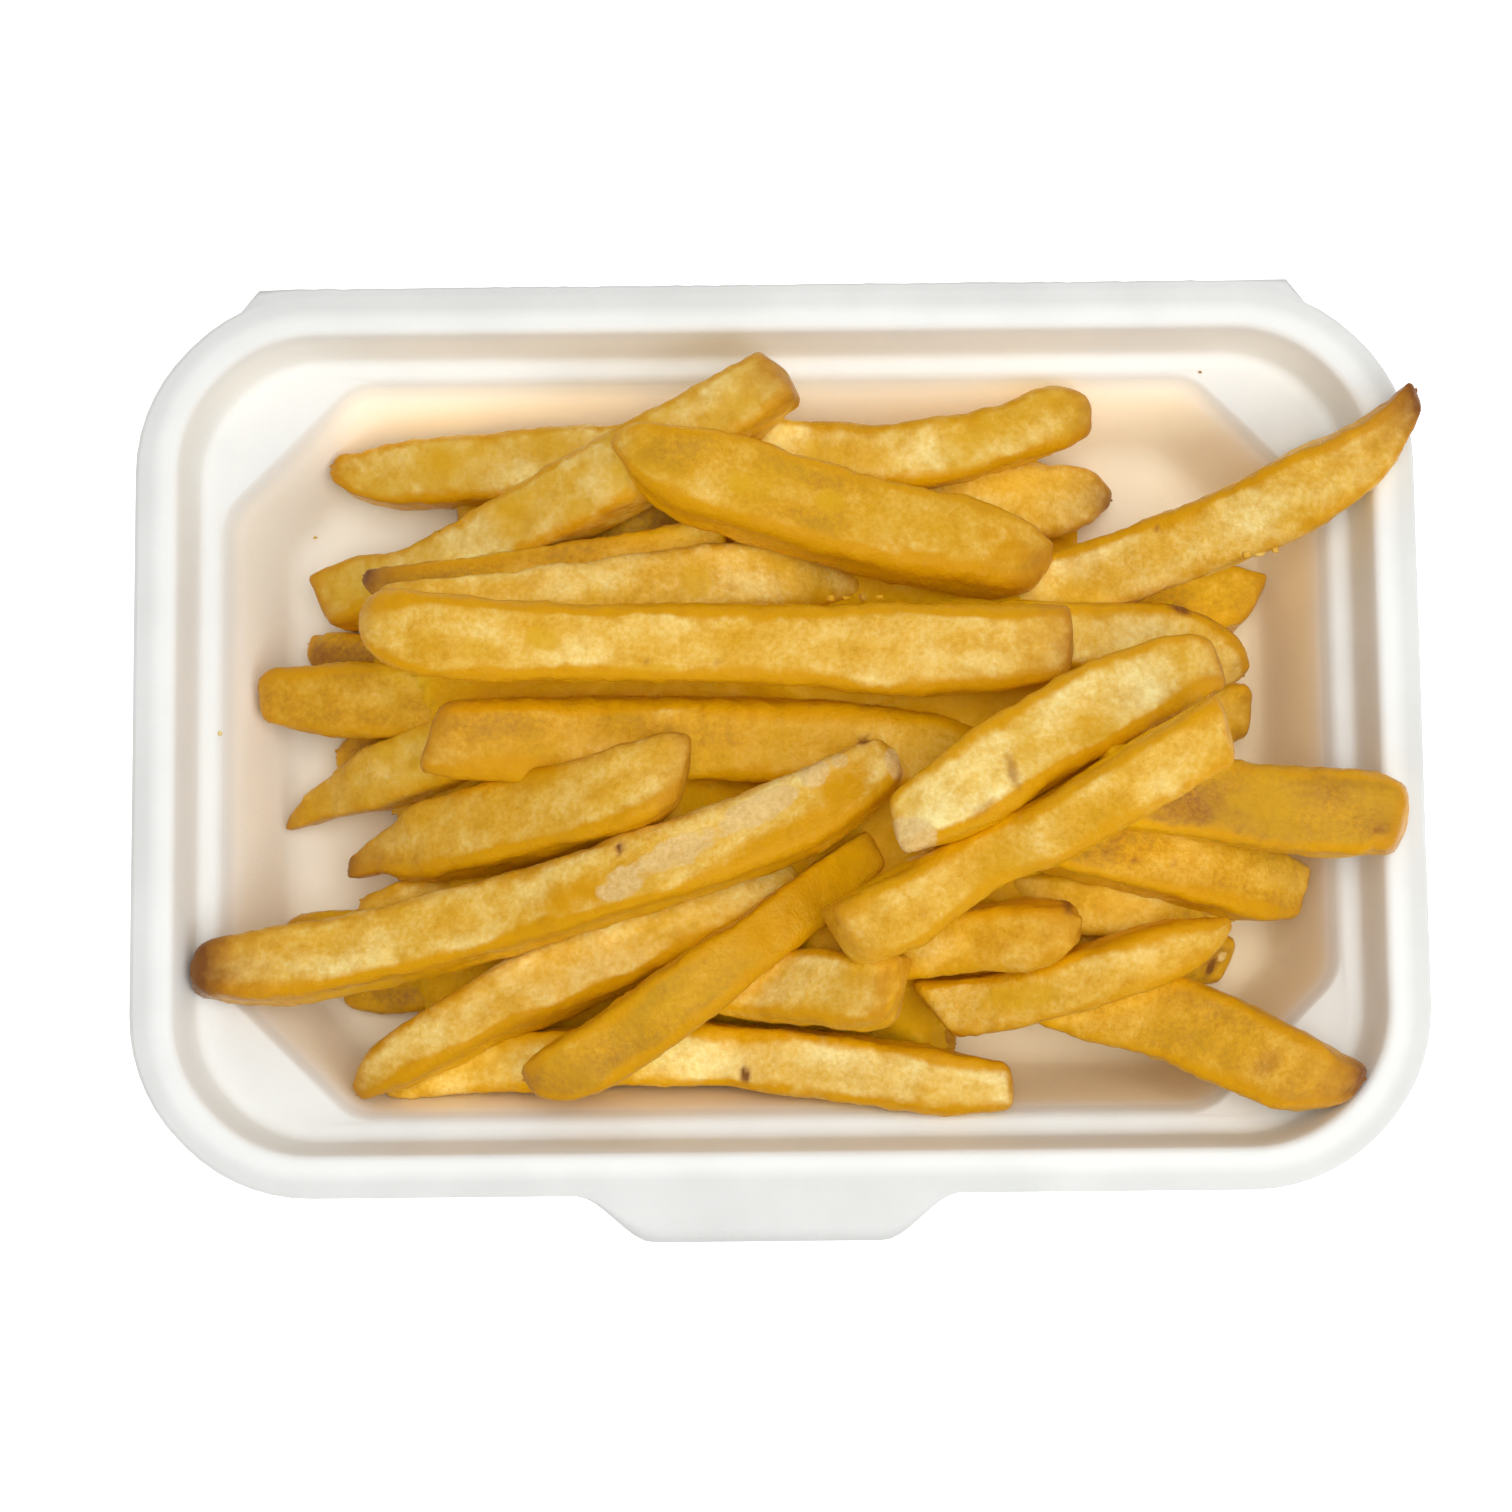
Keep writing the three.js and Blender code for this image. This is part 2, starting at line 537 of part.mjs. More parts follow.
const pulp = new THREE.MeshStandardMaterial({ color: 0xf3f4f0, roughness: 0.85, metalness: 0 });
const potato = new THREE.MeshStandardMaterial({ color: 0xe0b050, roughness: 0.55, metalness: 0 });

const trayGeometry = toGeometry(pulpShell(0).add(openingTab()).add(hingeStrip()));
const tray = new THREE.Mesh(trayGeometry, pulp);
tray.name = 'tray';

const fries = new THREE.Mesh(fryHeap(), potato);
fries.name = 'fries';

const group = new THREE.Group();
group.name = 'fries_in_tray';
group.add(tray, fries);

export default group;
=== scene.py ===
"""Thick-cut fries heaped in a shallow moulded-pulp takeaway tray.

Sizes are millimetres, turned to metres where a mesh is made. X runs along the tray, +Y points
to the edge where the lid was torn off, and the tray stands on z = 0.
"""

import math
from collections import namedtuple

import bmesh
import bpy
import numpy as np
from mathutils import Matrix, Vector, noise


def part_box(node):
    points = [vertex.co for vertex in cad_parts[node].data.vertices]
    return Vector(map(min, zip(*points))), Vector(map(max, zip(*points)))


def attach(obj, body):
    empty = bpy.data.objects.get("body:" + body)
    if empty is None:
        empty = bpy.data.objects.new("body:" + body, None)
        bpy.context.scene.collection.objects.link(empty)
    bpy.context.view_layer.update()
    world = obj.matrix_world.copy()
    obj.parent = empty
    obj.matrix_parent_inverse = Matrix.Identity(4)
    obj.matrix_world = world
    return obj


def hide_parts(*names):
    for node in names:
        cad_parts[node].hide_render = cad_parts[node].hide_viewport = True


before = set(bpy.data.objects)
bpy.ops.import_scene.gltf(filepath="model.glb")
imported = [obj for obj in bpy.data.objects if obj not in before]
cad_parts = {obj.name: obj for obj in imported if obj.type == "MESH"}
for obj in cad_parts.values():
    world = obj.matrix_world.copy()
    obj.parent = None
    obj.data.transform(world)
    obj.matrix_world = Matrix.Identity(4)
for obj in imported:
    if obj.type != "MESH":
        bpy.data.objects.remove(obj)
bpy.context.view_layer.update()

MM = 0.001
TINY = 1e-6


# ---------------------------------------------------------------- camera

PICTURE_WIDTH = 1512
FOCAL_PIXELS = 2853
SENSOR_WIDTH = 36
CAMERA_PLACE = (-2.7, -42.9, 435.6)
CAMERA_TILT = 5.65
CAMERA_TURN = 0.05
CAMERA_ROLL = -0.57


def add_camera():
    data = bpy.data.cameras.new("camera")
    data.sensor_width = SENSOR_WIDTH
    data.lens = FOCAL_PIXELS / PICTURE_WIDTH * SENSOR_WIDTH
    data.clip_start = 0.01
    camera = bpy.data.objects.new("camera", data)
    camera.location = Vector(CAMERA_PLACE) * MM
    camera.rotation_mode = "ZYX"
    camera.rotation_euler = [math.radians(a) for a in (CAMERA_TILT, CAMERA_TURN, CAMERA_ROLL)]
    bpy.context.collection.objects.link(camera)
    bpy.context.scene.camera = camera


add_camera()


# ---------------------------------------------------------------- sizes

# Tray
HALF_LENGTH = 91.8
HALF_DEPTH = 64.7
RIM_HEIGHT = 32.0
LEDGE_HEIGHT = 22.0
PULP = 1.3
CORNER_RADIUS = 25.0
CORNER_FLAT = 0.8
BASIN_INSET = 10.2
BASIN_CUT = 19.5
BASIN_RADIUS = 7.0

# The inside of the tray, from near the flange's edge down to the floor: (inset, height)
EDGE_INSET = 0.5
PROFILE = [
    (EDGE_INSET, RIM_HEIGHT),
    (4.8, RIM_HEIGHT),
    (5.6, RIM_HEIGHT - 0.4),
    (6.1, RIM_HEIGHT - 1.2),
    (7.4, LEDGE_HEIGHT + 1.4),
    (8.0, LEDGE_HEIGHT + 0.4),
    (8.9, LEDGE_HEIGHT),
    (BASIN_INSET, LEDGE_HEIGHT - 0.1),
    (BASIN_INSET + 1.2, LEDGE_HEIGHT - 1.8),
    (BASIN_INSET + 6.6, PULP + 2.9),
    (BASIN_INSET + 8.4, PULP + 0.7),
    (BASIN_INSET + 10.4, PULP),
    (BASIN_INSET + 12, PULP),
]

# The opening tab at the front, and at the back the hinge strip, torn ragged, with a notch
TAB_CENTRE = -2.0
TAB_HALF_ROOT = 27.0
TAB_HALF_TIP = 16.0
TAB_REACH = 71.2
STRIP_HALF_LENGTH = 77.5
STRIP_REACH = 65.8
STRIP_END = 3.0
NOTCH_PLACE = -75.5
NOTCH_HALF_WIDTH = 1.1
NOTCH_DEPTH = 0.6
COARSE_TEAR = 0.16
FINE_TEAR = 0.1

# How the sheet's edge bends down beyond the flange: (share of the way out, drop)
EDGE_RINGS = [(0.15, 0.02), (0.3, 0.12), (0.65, 0.2), (1, 0.3)]

# How far the sheet warps and over what size, and how much thinner it is than the pulp, so that
# its underside stays clear of the ground
WARP = 0.18
WARP_SIZE = 26.0
SHEET_PLAY = 0.02

# Steps along the tray's long and short sides, its flat corners and its arcs
LONG_STEPS = 96
SHORT_STEPS = 44
FLAT_STEPS = 5
ARC_STEPS = 7

# How the fries lie. Each is felt for at stations along it, at shares of its width, and held to
# a gap above what is below. It is a straight line first, no steeper than a limit, which most
# stations reach down to; it is then pressed down, hangs where there is space and gives where
# there is none, and is eased. The heap is a grid of heights
STATIONS = 25
FEELERS = (-0.36, -0.18, 0, 0.18, 0.36)
GAP = 0.3
PRESS = 0.9
STEEPEST = 0.35
RESTING_SHARE = 0.75
HANG = 0.4
MOST_HANG = 3.0
GIVE = 0.5
EASE_REACH = 22.0
LIFT_REACH = 45.0
TOP_ROUNDING = 0.35
CELL = 1.0
GRID_X = 200
GRID_Y = 140

# A fry: height as a share of the width; route, the middle line seen from above with the fry's
# width along it as (x, y, width); and then, for its first and last end or its left and right
# side as one looks along it: tone, from 0 for pale to 1 for brown, partly the fry's own colour
# and partly painted light, as some fries that lie in shade are set paler; bands, how golden each
# side's edge is; brown, how dark each end is; slant, how far each end is cut askew; then roll,
# the turn about its own length in degrees; and oil, the share of the skin that is soaked yellow
Fry = namedtuple("Fry", "flat route tone bands brown slant roll oil")

# How a fry lies, station by station: place, width, distance from its middle along it, sideways
# direction and height
Laid = namedtuple("Laid", "places widths along side heights")

BOTTOM_ROUTES = [
    [(-54, 23, 9.5), (-28, 23, 11.5), (-2, 23, 9.5)],
    [(1, 24, 9.5), (23, 24, 11.5), (46, 24, 9.5)],
    [(-46, 11, 9.5), (-22, 11, 11.5), (1, 11, 9.5)],
    [(4, 12, 9.5), (27, 12, 11.5), (49, 12, 9.5)],
    [(-32, -3, 9.5), (-12, -3, 11.5), (8, -3, 9.5)],
    [(11, -2, 9.5), (30, -2, 11.5), (49, -2, 9.5)],
    [(-21, -16, 9.5), (-2, -16, 11.5), (18, -17, 9.5)],
    [(21, -15, 9.5), (37, -15, 11.5), (53, -15, 9.5)],
    [(-24, -30, 9.5), (-6, -30, 11.5), (12, -30, 9.5)],
    [(15, -29, 9.5), (33, -29, 11.5), (51, -29, 9.5)],
    [(-45, 37, 9), (-24, 37, 11), (-2, 37, 9)],
    [(1, 38, 9), (18, 38, 11), (34, 38, 9)],
]
BOTTOM_LAYER = [
    Fry(1, route, (0.4, 0.4), (0.4, 0.4), (0.2, 0.2), (0, 0), 4, 0.3) for route in BOTTOM_ROUTES
]

LOWER_FRIES = [
    Fry(1, [(-65.5, -35.5, 2), (-62, -36, 5), (-54, -35.5, 6), (-43, -34, 6)],
        (0.62, 0.55), (0.4, 0.4), (0.4, 0), (0, 0), 6, 0.1),
    Fry(1, [(-74.5, -27, 3), (-71.5, -27, 7), (-65, -27, 8), (-46, -25.5, 8)],
        (0.62, 0.5), (0.5, 0.4), (0.5, 0), (0, 0), -6, 0.1),
    Fry(1, [(-61.5, -22, 3), (-56.5, -23, 8), (-46, -22, 8.5), (-32.5, -20.5, 9)],
        (0.42, 0.36), (0.4, 0.4), (0.3, 0), (0.4, 0), 5, 0.2),
    Fry(1, [(-71, 17.5, 2.5), (-68, 15.5, 7), (-60, 14.5, 8), (-48, 13.5, 8)],
        (0.64, 0.6), (0.3, 0.3), (0.3, 0), (-0.4, 0), 4, 0),
    Fry(1, [(67, -32, 7), (62.5, -31, 9), (53, -30, 9), (42, -29, 8)],
        (0.5, 0.45), (0.3, 0.5), (0.3, 0), (0.2, 0), -8, 0.1),
    Fry(1, [(26.5, -44, 2), (23, -43.5, 5), (18, -43.5, 6.5), (1.5, -42, 7)],
        (0.75, 0.6), (0.4, 0.4), (0.5, 0), (0, 0), 0, 0),
    Fry(1, [(-66.5, 1, 4), (-63, 0, 7.5), (-54, -0.5, 8.5), (-42, 0, 8.5)],
        (0.5, 0.4), (0.4, 0.5), (0.4, 0), (0, 0), 6, 0.1),
    Fry(1, [(70.5, 5.5, 8.5), (65.5, 5, 10.5), (56.5, 1, 10.5), (46.5, -5, 10)],
        (0.42, 0.4), (0.4, 0.6), (0.5, 0), (0.1, 0), -5, 0.2),
    Fry(1, [(72.5, 22, 9), (67, 22, 10.5), (59, 20.5, 10), (46.5, 17.5, 9)],
        (0.45, 0.45), (0.5, 0.6), (0.4, 0), (0.5, 0), 7, 0.5),
    Fry(1, [(35, 6.5, 3), (28.5, 7.5, 7), (18.5, 7.5, 8), (3.5, 8.5, 8)],
        (0.38, 0.38), (0.3, 0.3), (0.2, 0), (0, 0), 3, 0.1),
    Fry(1, [(-77, 8.5, 3), (-75, 8.5, 8), (-69.5, 8, 10.5), (-60.5, 7.5, 12), (-39.5, 6, 10)],
        (0.45, 0.35), (0.6, 0.5), (0.4, 0), (0, 0), 6, 0.2),
    Fry(1, [(-74, -10, 1.5), (-68.5, -7.5, 5), (-63, -5.5, 7.5), (-56.5, -3.5, 10),
            (-36.5, 2.5, 10)],
        (0.36, 0.3), (0.4, 0.4), (0.6, 0), (0.9, 0), -5, 0.7),
    Fry(1, [(-31, 28, 6), (-21.5, 31, 8.5), (-11, 35, 9.5), (-2.5, 39.5, 7.5)],
        (0.58, 0.55), (0.5, 0.5), (0.2, 0.2), (0, 0), 0, 0.1),
]

MIDDLE_FRIES = [
    Fry(1, [(-66.5, 43.5, 3.5), (-60.5, 42, 8.5), (-51.5, 42, 10.5), (-36, 42.5, 10.5),
            (-19.5, 43, 10)],
        (0.16, 0.12), (0.5, 0.6), (0.4, 0), (0.1, 0), 4, 0.8),
    Fry(1, [(51.5, 38.5, 2.5), (47.5, 38.5, 8.5), (41.5, 37.5, 11.5), (30.5, 36.5, 12),
            (6.5, 33, 9.5)],
        (0.22, 0.24), (0.4, 0.5), (0.75, 0), (0.2, 0), -4, 0.3),
    Fry(1, [(-11.5, 44, 10), (12.5, 41.5, 10), (23, 42, 10.5), (34, 45, 9.5), (41, 47.5, 10.5),
            (46.5, 48, 5.5)],
        (0.14, 0.32), (0.5, 0.6), (0.2, 0.5), (0, 0), 6, 0.7),
    Fry(1, [(-67.5, 23, 10), (-61.5, 24.5, 10.5), (-52.5, 25.5, 10), (-31.5, 34.5, 11.5),
            (-9.5, 45, 11), (1.5, 51.5, 9)],
        (0.16, 0.12), (0.5, 0.6), (0.4, 0.5), (-0.2, -0.1), -6, 0.8),
    Fry(1, [(-60.5, 25.5, 2), (-56, 24, 5.5), (-43.5, 24.5, 6), (-19, 27.5, 7), (-7.5, 30, 7)],
        (0.5, 0.4), (0.4, 0.5), (0.9, 0), (0, 0), 8, 0.2),
    Fry(1, [(-56.5, 19.5, 4.5), (-46.5, 19, 8), (-31, 19.5, 10), (-4, 23, 11.5), (6, 23.5, 8),
            (13, 23.5, 2)],
        (0.34, 0.28), (0.3, 0.4), (0.3, 0.2), (0, 0.2), -5, 0.4),
    Fry(1, [(34, -23, 8.5), (41, -23.5, 9), (51, -24.5, 10), (63, -25.5, 8)],
        (0.36, 0.4), (0.4, 0.5), (0.2, 0.3), (-0.1, 0.1), 4, 0.2),
    Fry(1, [(38, -36, 11), (46, -38, 12.5), (56, -40.5, 13), (71, -47.5, 12.5), (77.5, -50, 9),
            (82, -49.5, 2.5)],
        (0.4, 0.46), (0.5, 0.7), (0, 0.8), (0, 0.6), 5, 0.4),
    Fry(1, [(-58, -49, 3), (-51.5, -47.5, 7), (-39.5, -46, 9), (-11.5, -45, 9.5), (14, -48, 10),
            (24, -49.5, 9.5), (33, -50, 7)],
        (0.3, 0.06), (0.6, 0.5), (0.4, 0.25), (0.5, -0.1), 5, 0.3),
    Fry(1, [(22, -38.5, 9), (34, -37.5, 9), (53.5, -31.5, 9), (60.5, -29, 5.5), (64, -27, 1.5)],
        (0.3, 0.34), (0.7, 0.5), (0.1, 0.2), (-0.7, 0.1), 6, 0.3),
    Fry(1, [(32.5, -13, 10), (42, -15.5, 10.5), (59.5, -19.5, 11), (68.5, -21.5, 11),
            (75, -22.5, 8.5)],
        (0.45, 0.42), (0.3, 0.7), (0, 0.4), (0.1, 0.3), -6, 0.2),
    Fry(1, [(11.5, -30.5, 8), (18.5, -30, 10), (28.5, -29, 10), (37, -28.5, 10), (42, -27, 5)],
        (0.36, 0.32), (0.6, 0.5), (0, 0.4), (0, 0.2), 8, 0.3),
    Fry(1, [(-13, -33, 10), (-6, -34.5, 11), (2.5, -35.5, 11), (11, -36.5, 11.5),
            (16.5, -36, 10)],
        (0.22, 0.24), (0.5, 0.7), (0, 0.3), (-0.1, 0.3), -4, 0.4),
    Fry(0.8, [(-49, 0.5, 10.5), (-37, 0, 13), (-8.5, 0.5, 13), (17.5, -1, 12.5),
              (28, -3.5, 11.5)],
        (0.46, 0.34), (1, 0.8), (0.4, 0.1), (0.3, 0), 7, 0.5),
    Fry(1, [(34.5, 21.5, 10.5), (45.5, 23.5, 11), (68.5, 31.5, 11.5), (77, 35.5, 12),
            (83, 38.5, 10), (88, 43, 6.5), (91, 47.5, 3.5)],
        (0.24, 0.28), (0.8, 0.4), (0, 1), (0, 0.6), 5, 0.4),
    Fry(1, [(32, 14.5, 10.5), (41, 14.5, 11), (57.5, 14, 12), (64.5, 11.5, 10), (69.5, 10, 2.5)],
        (0.18, 0.24), (0.7, 0.5), (0, 0.5), (0, 0.5), 5, 0.5),
    Fry(0.9, [(44, -7.5, 11), (54, -9.5, 11.5), (75.5, -12, 12.5), (83.5, -12.5, 11.5),
              (87.5, -14, 8.5)],
        (0.7, 0.66), (0.6, 0.6), (0, 0.3), (-0.1, -0.1), 2, 0.7),
]

UPPER_FRIES = [
    Fry(0.9, [(-63.5, -17.5, 3), (-58, -15.5, 6), (-53, -15, 10), (-47.5, -13.5, 12.5),
              (-27.5, -9.5, 12.5), (-18, -7, 12.5), (-13, -5.5, 9)],
        (0.38, 0.34), (0.3, 0.9), (0.7, 0.4), (0.4, 0.6), -8, 0.4),
    Fry(0.8, [(-23, 41, 2), (-19, 39.5, 8), (-14, 37, 12), (-6, 35, 13.5), (16.5, 29.5, 13.5),
              (26.5, 28, 13.5), (34.5, 25.5, 11.5), (39.5, 25, 6)],
        (0.4, 0.46), (0.5, 0.9), (0.3, 0.45), (-0.3, 0.4), -6, 0.5),
    Fry(1, [(-61.5, -50.5, 2.5), (-57.5, -47, 7), (-51, -43.5, 9), (-41.5, -38, 10),
            (-30, -33, 12), (-6.5, -23, 10), (2, -19, 9)],
        (0.2, 0.24), (0.4, 1), (0.5, 0), (0, 0), -7, 0.4),
    Fry(1, [(-84, -32.5, 6), (-80.5, -32.5, 9.5), (-71.5, -32, 11.5), (-59.5, -30, 11.5),
            (-29.5, -22.5, 11.5), (-0.5, -13, 12), (11, -7, 10), (16.5, -3, 6.5)],
        (0.28, 0.24), (0.4, 0.8), (1, 0.1), (0, 0.1), -8, 0.4),
    Fry(1, [(-36.5, -48.5, 3.5), (-31.5, -47.5, 9), (-23, -43, 10), (-15, -37.5, 10.5),
            (-0.5, -27, 8.5), (7.5, -21, 8), (14, -15.5, 6)],
        (0.54, 0.54), (0.6, 0.8), (0.4, 0.2), (-0.3, 0.2), 6, 0.6),
    Fry(1, [(8.5, -29, 10), (16.5, -25.5, 11.5), (27.5, -19, 9.5), (40.5, -13, 10),
            (61, -1.5, 10)],
        (0.3, 0.3), (0.7, 0.6), (0.3, 0.2), (-0.2, 0.3), 6, 0.4),
    Fry(0.85, [(-58, 16.5, 4), (-55, 15, 10), (-47.5, 13.5, 13), (-33.5, 12.5, 11.5),
               (0.5, 12.5, 12), (16, 12, 14), (30.5, 12, 13), (41.5, 12.5, 11)],
        (0.3, 0.28), (0.9, 0.9), (0.3, 0.5), (-0.3, 0.1), 7, 0.3),
    Fry(0.95, [(16.5, -14, 8.5), (26.5, -9, 13), (35, -3.5, 13), (46.5, 3, 13), (56, 7.5, 11),
               (62.5, 9, 7.5)],
        (0.12, 0.14), (0.6, 0.9), (0.1, 0.4), (0.2, -0.1), -6, 0.5),
]

# Layers of the heap from the bottom up: name, fries and the seed of the first of them
LAYERS = [
    ("fries_lower", BOTTOM_LAYER + LOWER_FRIES, 1),
    ("fries_middle", MIDDLE_FRIES, 31),
    ("fries_upper", UPPER_FRIES, 61),
]

# Places on the fries where the skin looks different, by kind: soaked with oil, torn to the
# potato's flesh, scorched, or fried to a deep gold. Each has its place, its half length and half
# width, its turn in degrees and its strength
MARKS = {
    "soaked": [
        (-32.5, 12.4, 2.6, 1.6, -25, 1),
        (-41, 11, 3, 1.8, 0, 0.6),
        (-17, 7.8, 4.4, 1.3, 0, 1),
        (-11.5, 22, 2.4, 2.6, 30, 1),
        (-28.3, 32.7, 2.8, 2.2, 30, 1),
        (-41, 27.1, 2, 1.4, 20, 0.8),
        (-51, 40.4, 3.2, 2, 10, 1),
        (-4.9, 34.5, 2, 1.8, -20, 1),
        (7.8, 32.6, 2.2, 1.8, -20, 1),
        (29, 0.4, 5.4, 2, 35, 1),
        (34, -37.4, 6, 2.4, 5, 0.7),
    ],
    "torn": [
        (-22, -21.2, 3.4, 2.4, 30, 0.9),
        (-14, -16.8, 6.5, 2.2, 25, 1),
        (-3, -11, 6.5, 2.2, 27, 1),
        (5, -6, 2.6, 1.8, 30, 1),
        (8.6, -4.3, 1.4, 1.2, 0, 0.8),
        (16.6, -4.6, 1.6, 2.6, 15, 0.9),
        (66, -31.5, 1.2, 0.5, 60, 1),
        (18.2, -15.6, 3.4, 2.8, -15, 1),
    ],
    "scorched": [
        (12.3, -0.9, 1.1, 0.9, 60, 0.8),
        (58.9, 18.6, 1.8, 0.9, -20, 0.7),
        (31.9, -7, 0.8, 2.6, 15, 0.5),
        (27.6, -12.4, 2.2, 0.7, 40, 0.35),
        (68.1, -47, 2.6, 1.6, 40, 0.35),
        (-17.9, 9.4, 0.5, 0.5, 0, 0.5),
        (-8.2, 9.1, 0.5, 0.5, 0, 0.5),
        (55.3, 29.7, 0.5, 0.5, 0, 0.6),
        (83.1, -14.8, 0.7, 0.6, 0, 0.6),
        (48.2, -15.3, 0.5, 0.5, 0, 0.5),
        (50.3, -18.7, 0.5, 0.5, 0, 0.5),
        (56.1, -18.7, 0.5, 0.5, 0, 0.5),
        (40.5, -24.9, 1, 1.5, 0, 0.7),
        (-5.1, -48.2, 0.8, 1.3, 10, 0.8),
        (-22.2, -16.2, 0.8, 0.7, 0, 0.9),
        (6.3, 35.1, 0.5, 0.5, 0, 0.5),
        (64.3, -32.9, 1.6, 0.7, 60, 0.9),
    ],
    "golden": [
        (8.5, -20.3, 9, 5, 42, 1),
        (-2, -27.5, 5, 5, 42, 0.6),
        (8, 4.4, 21, 2, -2, 1),
        (-38, -4.6, 8, 2, 0, 0.8),
        (24, 22.8, 9, 2.4, -16, 0.9),
        (33, 27, 4, 4, 0, 0.5),
        (9.3, -8, 4.4, 3.2, 30, 0.75),
        (-29, -23.4, 8, 2.8, 22, 0.55),
        (0, -15.4, 14, 2, 27, 0.7),
    ],
}

# How wide the marks' soft borders are, as a share of the marks
BORDER = {"soaked": 0.45, "torn": 0.45, "scorched": 0.45, "golden": 0.8}

# A fry's mesh: the steps between its rings, at its middle and at its ends, and those round it
RING_STEP = 0.8
END_STEP = 0.3
STEP_GROWTH = 0.3
SIDE_STEPS = 12

# A fry's shape: the radius of its long edges as a share of half its width, the twist in degrees,
# the rounding and the bulge of its ends, how far the ends' cuts reach, in widths at a station a
# little way in, how much they lean, and how the fry swells and thins along its length
EDGE_RADIUS = 0.38
EDGE_RADIUS_SPREAD = 0.12
TWIST = 4
END_RADIUS = 1.5
END_RADIUS_SHARE = 0.4
END_BULGE = 0.33
CUT_REACH = 1.3
CUT_STATION = 4
CUT_LEAN = 0.15
SWELL = 0.04
SWELL_SIZE = 12

# Unevenness of the crust: (height, size, seed), and that of the ends' cuts
LUMPS = [(0.42, 6.5, 3), (0.24, 2.6, 7), (0.2, 1.4, 11)]
CUT_LUMP = (0.2, 2.2, 13)

# The golden bands: their reach from a fry's long edges, how it and their strength vary along the
# fry, how far apart its two sides are in that pattern, the strength of the gold painted on its
# sides as shade and warm bounce light, and the rim of gold round its ends
BAND_REACH = 3.2
BAND_REACH_SPREAD = 3
BAND_REACH_SIZE = 9
BAND_SPREAD = 0.3
BAND_SPREAD_SIZE = 16
SIDES_APART = 9.0
SIDE_PAINTED_SHADE = 0.85
END_BAND = 0.5
END_BAND_REACH = 2.6

# Brown ends fade over a length that grows with how brown they are
BROWN_REACH = 1.2
BROWN_REACH_GROWTH = 4.5

# Streaks in the tone: how strong, how long and how wide
STREAK = 0.2
STREAK_LENGTH = 11
STREAK_WIDTH = 2.2

# How strong a fry's own oil shows
OIL_STRENGTH = 0.9

# What the potato's material reads at each point of a mesh
SKIN_VALUES = ("tone", "band", "brown", "oil", "soaked", "torn", "deep")
PLAIN_SKIN = dict.fromkeys(SKIN_VALUES, 0)

# How the depth in the heap, which sets the painted light on the fries, is worked out: the number
# of directions and the distances looked in, and the shares of hidden sky that count as shallow and
# as deep
SKY_TURNS = 12
SKY_REACHES = (1.5, 3, 5, 8, 12, 18)
SHALLOW = 0.15
DEEP = 0.85

# The core: how far round each place it follows the heap's mean height, how far below that it
# lies, half the width of the gaps between fries that it fills, how far it stays back from the
# heap's outline and above the tray, how steep its edges rise and how far in, its thickness, how
# much more painted light it gets than its depth gives, and the height of its bumps
CORE_REACH = 7
CORE_SINK = 9.5
CORE_CLOSING = 3
CORE_RETREAT = 6
CORE_CLEARANCE = 0.8
CORE_SLOPE = 1.5
CORE_SLOPE_REACH = 14
CORE_SHELL = 1.5
CORE_PAINTED_LIGHT = 1.3
CORE_BUMP = 0.5

# Crumbs: how flat they are, how high they lie as a share of their size, and each one's place,
# size and tone
CRUMB_FLATNESS = 0.7
CRUMB_LIFT = 0.2
CRUMBS = [
    (7.7, 18.7, 1, 0.5),
    (9.9, 18.8, 0.7, 0.45),
    (12.2, 18.9, 1.1, 0.55),
    (14.6, 18.9, 0.8, 0.4),
    (17, 19, 0.9, 0.6),
    (19.1, 19, 0.7, 0.45),
    (21.7, 19.2, 1, 0.5),
    (24.2, 19.3, 0.8, 0.5),
    (26.2, 19.4, 0.7, 0.6),
    (67.8, 25.6, 0.9, 0.3),
    (69.6, 25.8, 1.2, 0.2),
    (71.8, 26.2, 1.1, 0.3),
    (73.8, 26.8, 0.9, 0.2),
    (-70.6, 34.4, 0.5, 0.2),
    (-81.2, 2.1, 0.6, 0.1),
    (63, 54.3, 0.4, 0.7),
]


# ---------------------------------------------------------------- materials

# Patterns of the potato's skin: name, size in millimetres, detail and roughness
SKIN_PATTERNS = [
    ("clouds", 8, 2.0, 0.5),
    ("mottle", 2.6, 3.0, 0.55),
    ("blisters", 0.8, 3.0, 0.65),
]

# A mix node's sockets for colours, by number, as those for its other kinds share their names
SHARE = 0
UNDER = 6
OVER = 7
MIXED = 2


def linear(hex_colour):
    """An sRGB hex colour as linear red, green, blue and alpha."""
    shares = [int(hex_colour[i : i + 2], 16) / 255 for i in (1, 3, 5)]
    curve = [s / 12.92 if s <= 0.04045 else ((s + 0.055) / 1.055) ** 2.4 for s in shares]
    return (*curve, 1.0)


def add(tree, kind, sockets, **settings):
    """Adds a node with its settings; a socket takes a value or another node's output."""
    node = tree.nodes.new(kind)
    for name, value in settings.items():
        setattr(node, name, value)
    for name, value in sockets.items():
        if isinstance(value, bpy.types.NodeSocket):
            tree.links.new(value, node.inputs[name])
        else:
            node.inputs[name].default_value = value
    return node


def new_material(name):
    material = bpy.data.materials.new(name)
    material.use_nodes = True
    material.node_tree.nodes.clear()
    return material, material.node_tree


def fill_ramp(ramp, stops):
    """Gives a colour ramp its stops: (place, hex colour)."""
    while len(ramp.color_ramp.elements) > 1:
        ramp.color_ramp.elements.remove(ramp.color_ramp.elements[0])
    first = ramp.color_ramp.elements[0]
    first.position, first.color = stops[0][0], linear(stops[0][1])
    for place, colour in stops[1:]:
        ramp.color_ramp.elements.new(place).color = linear(colour)


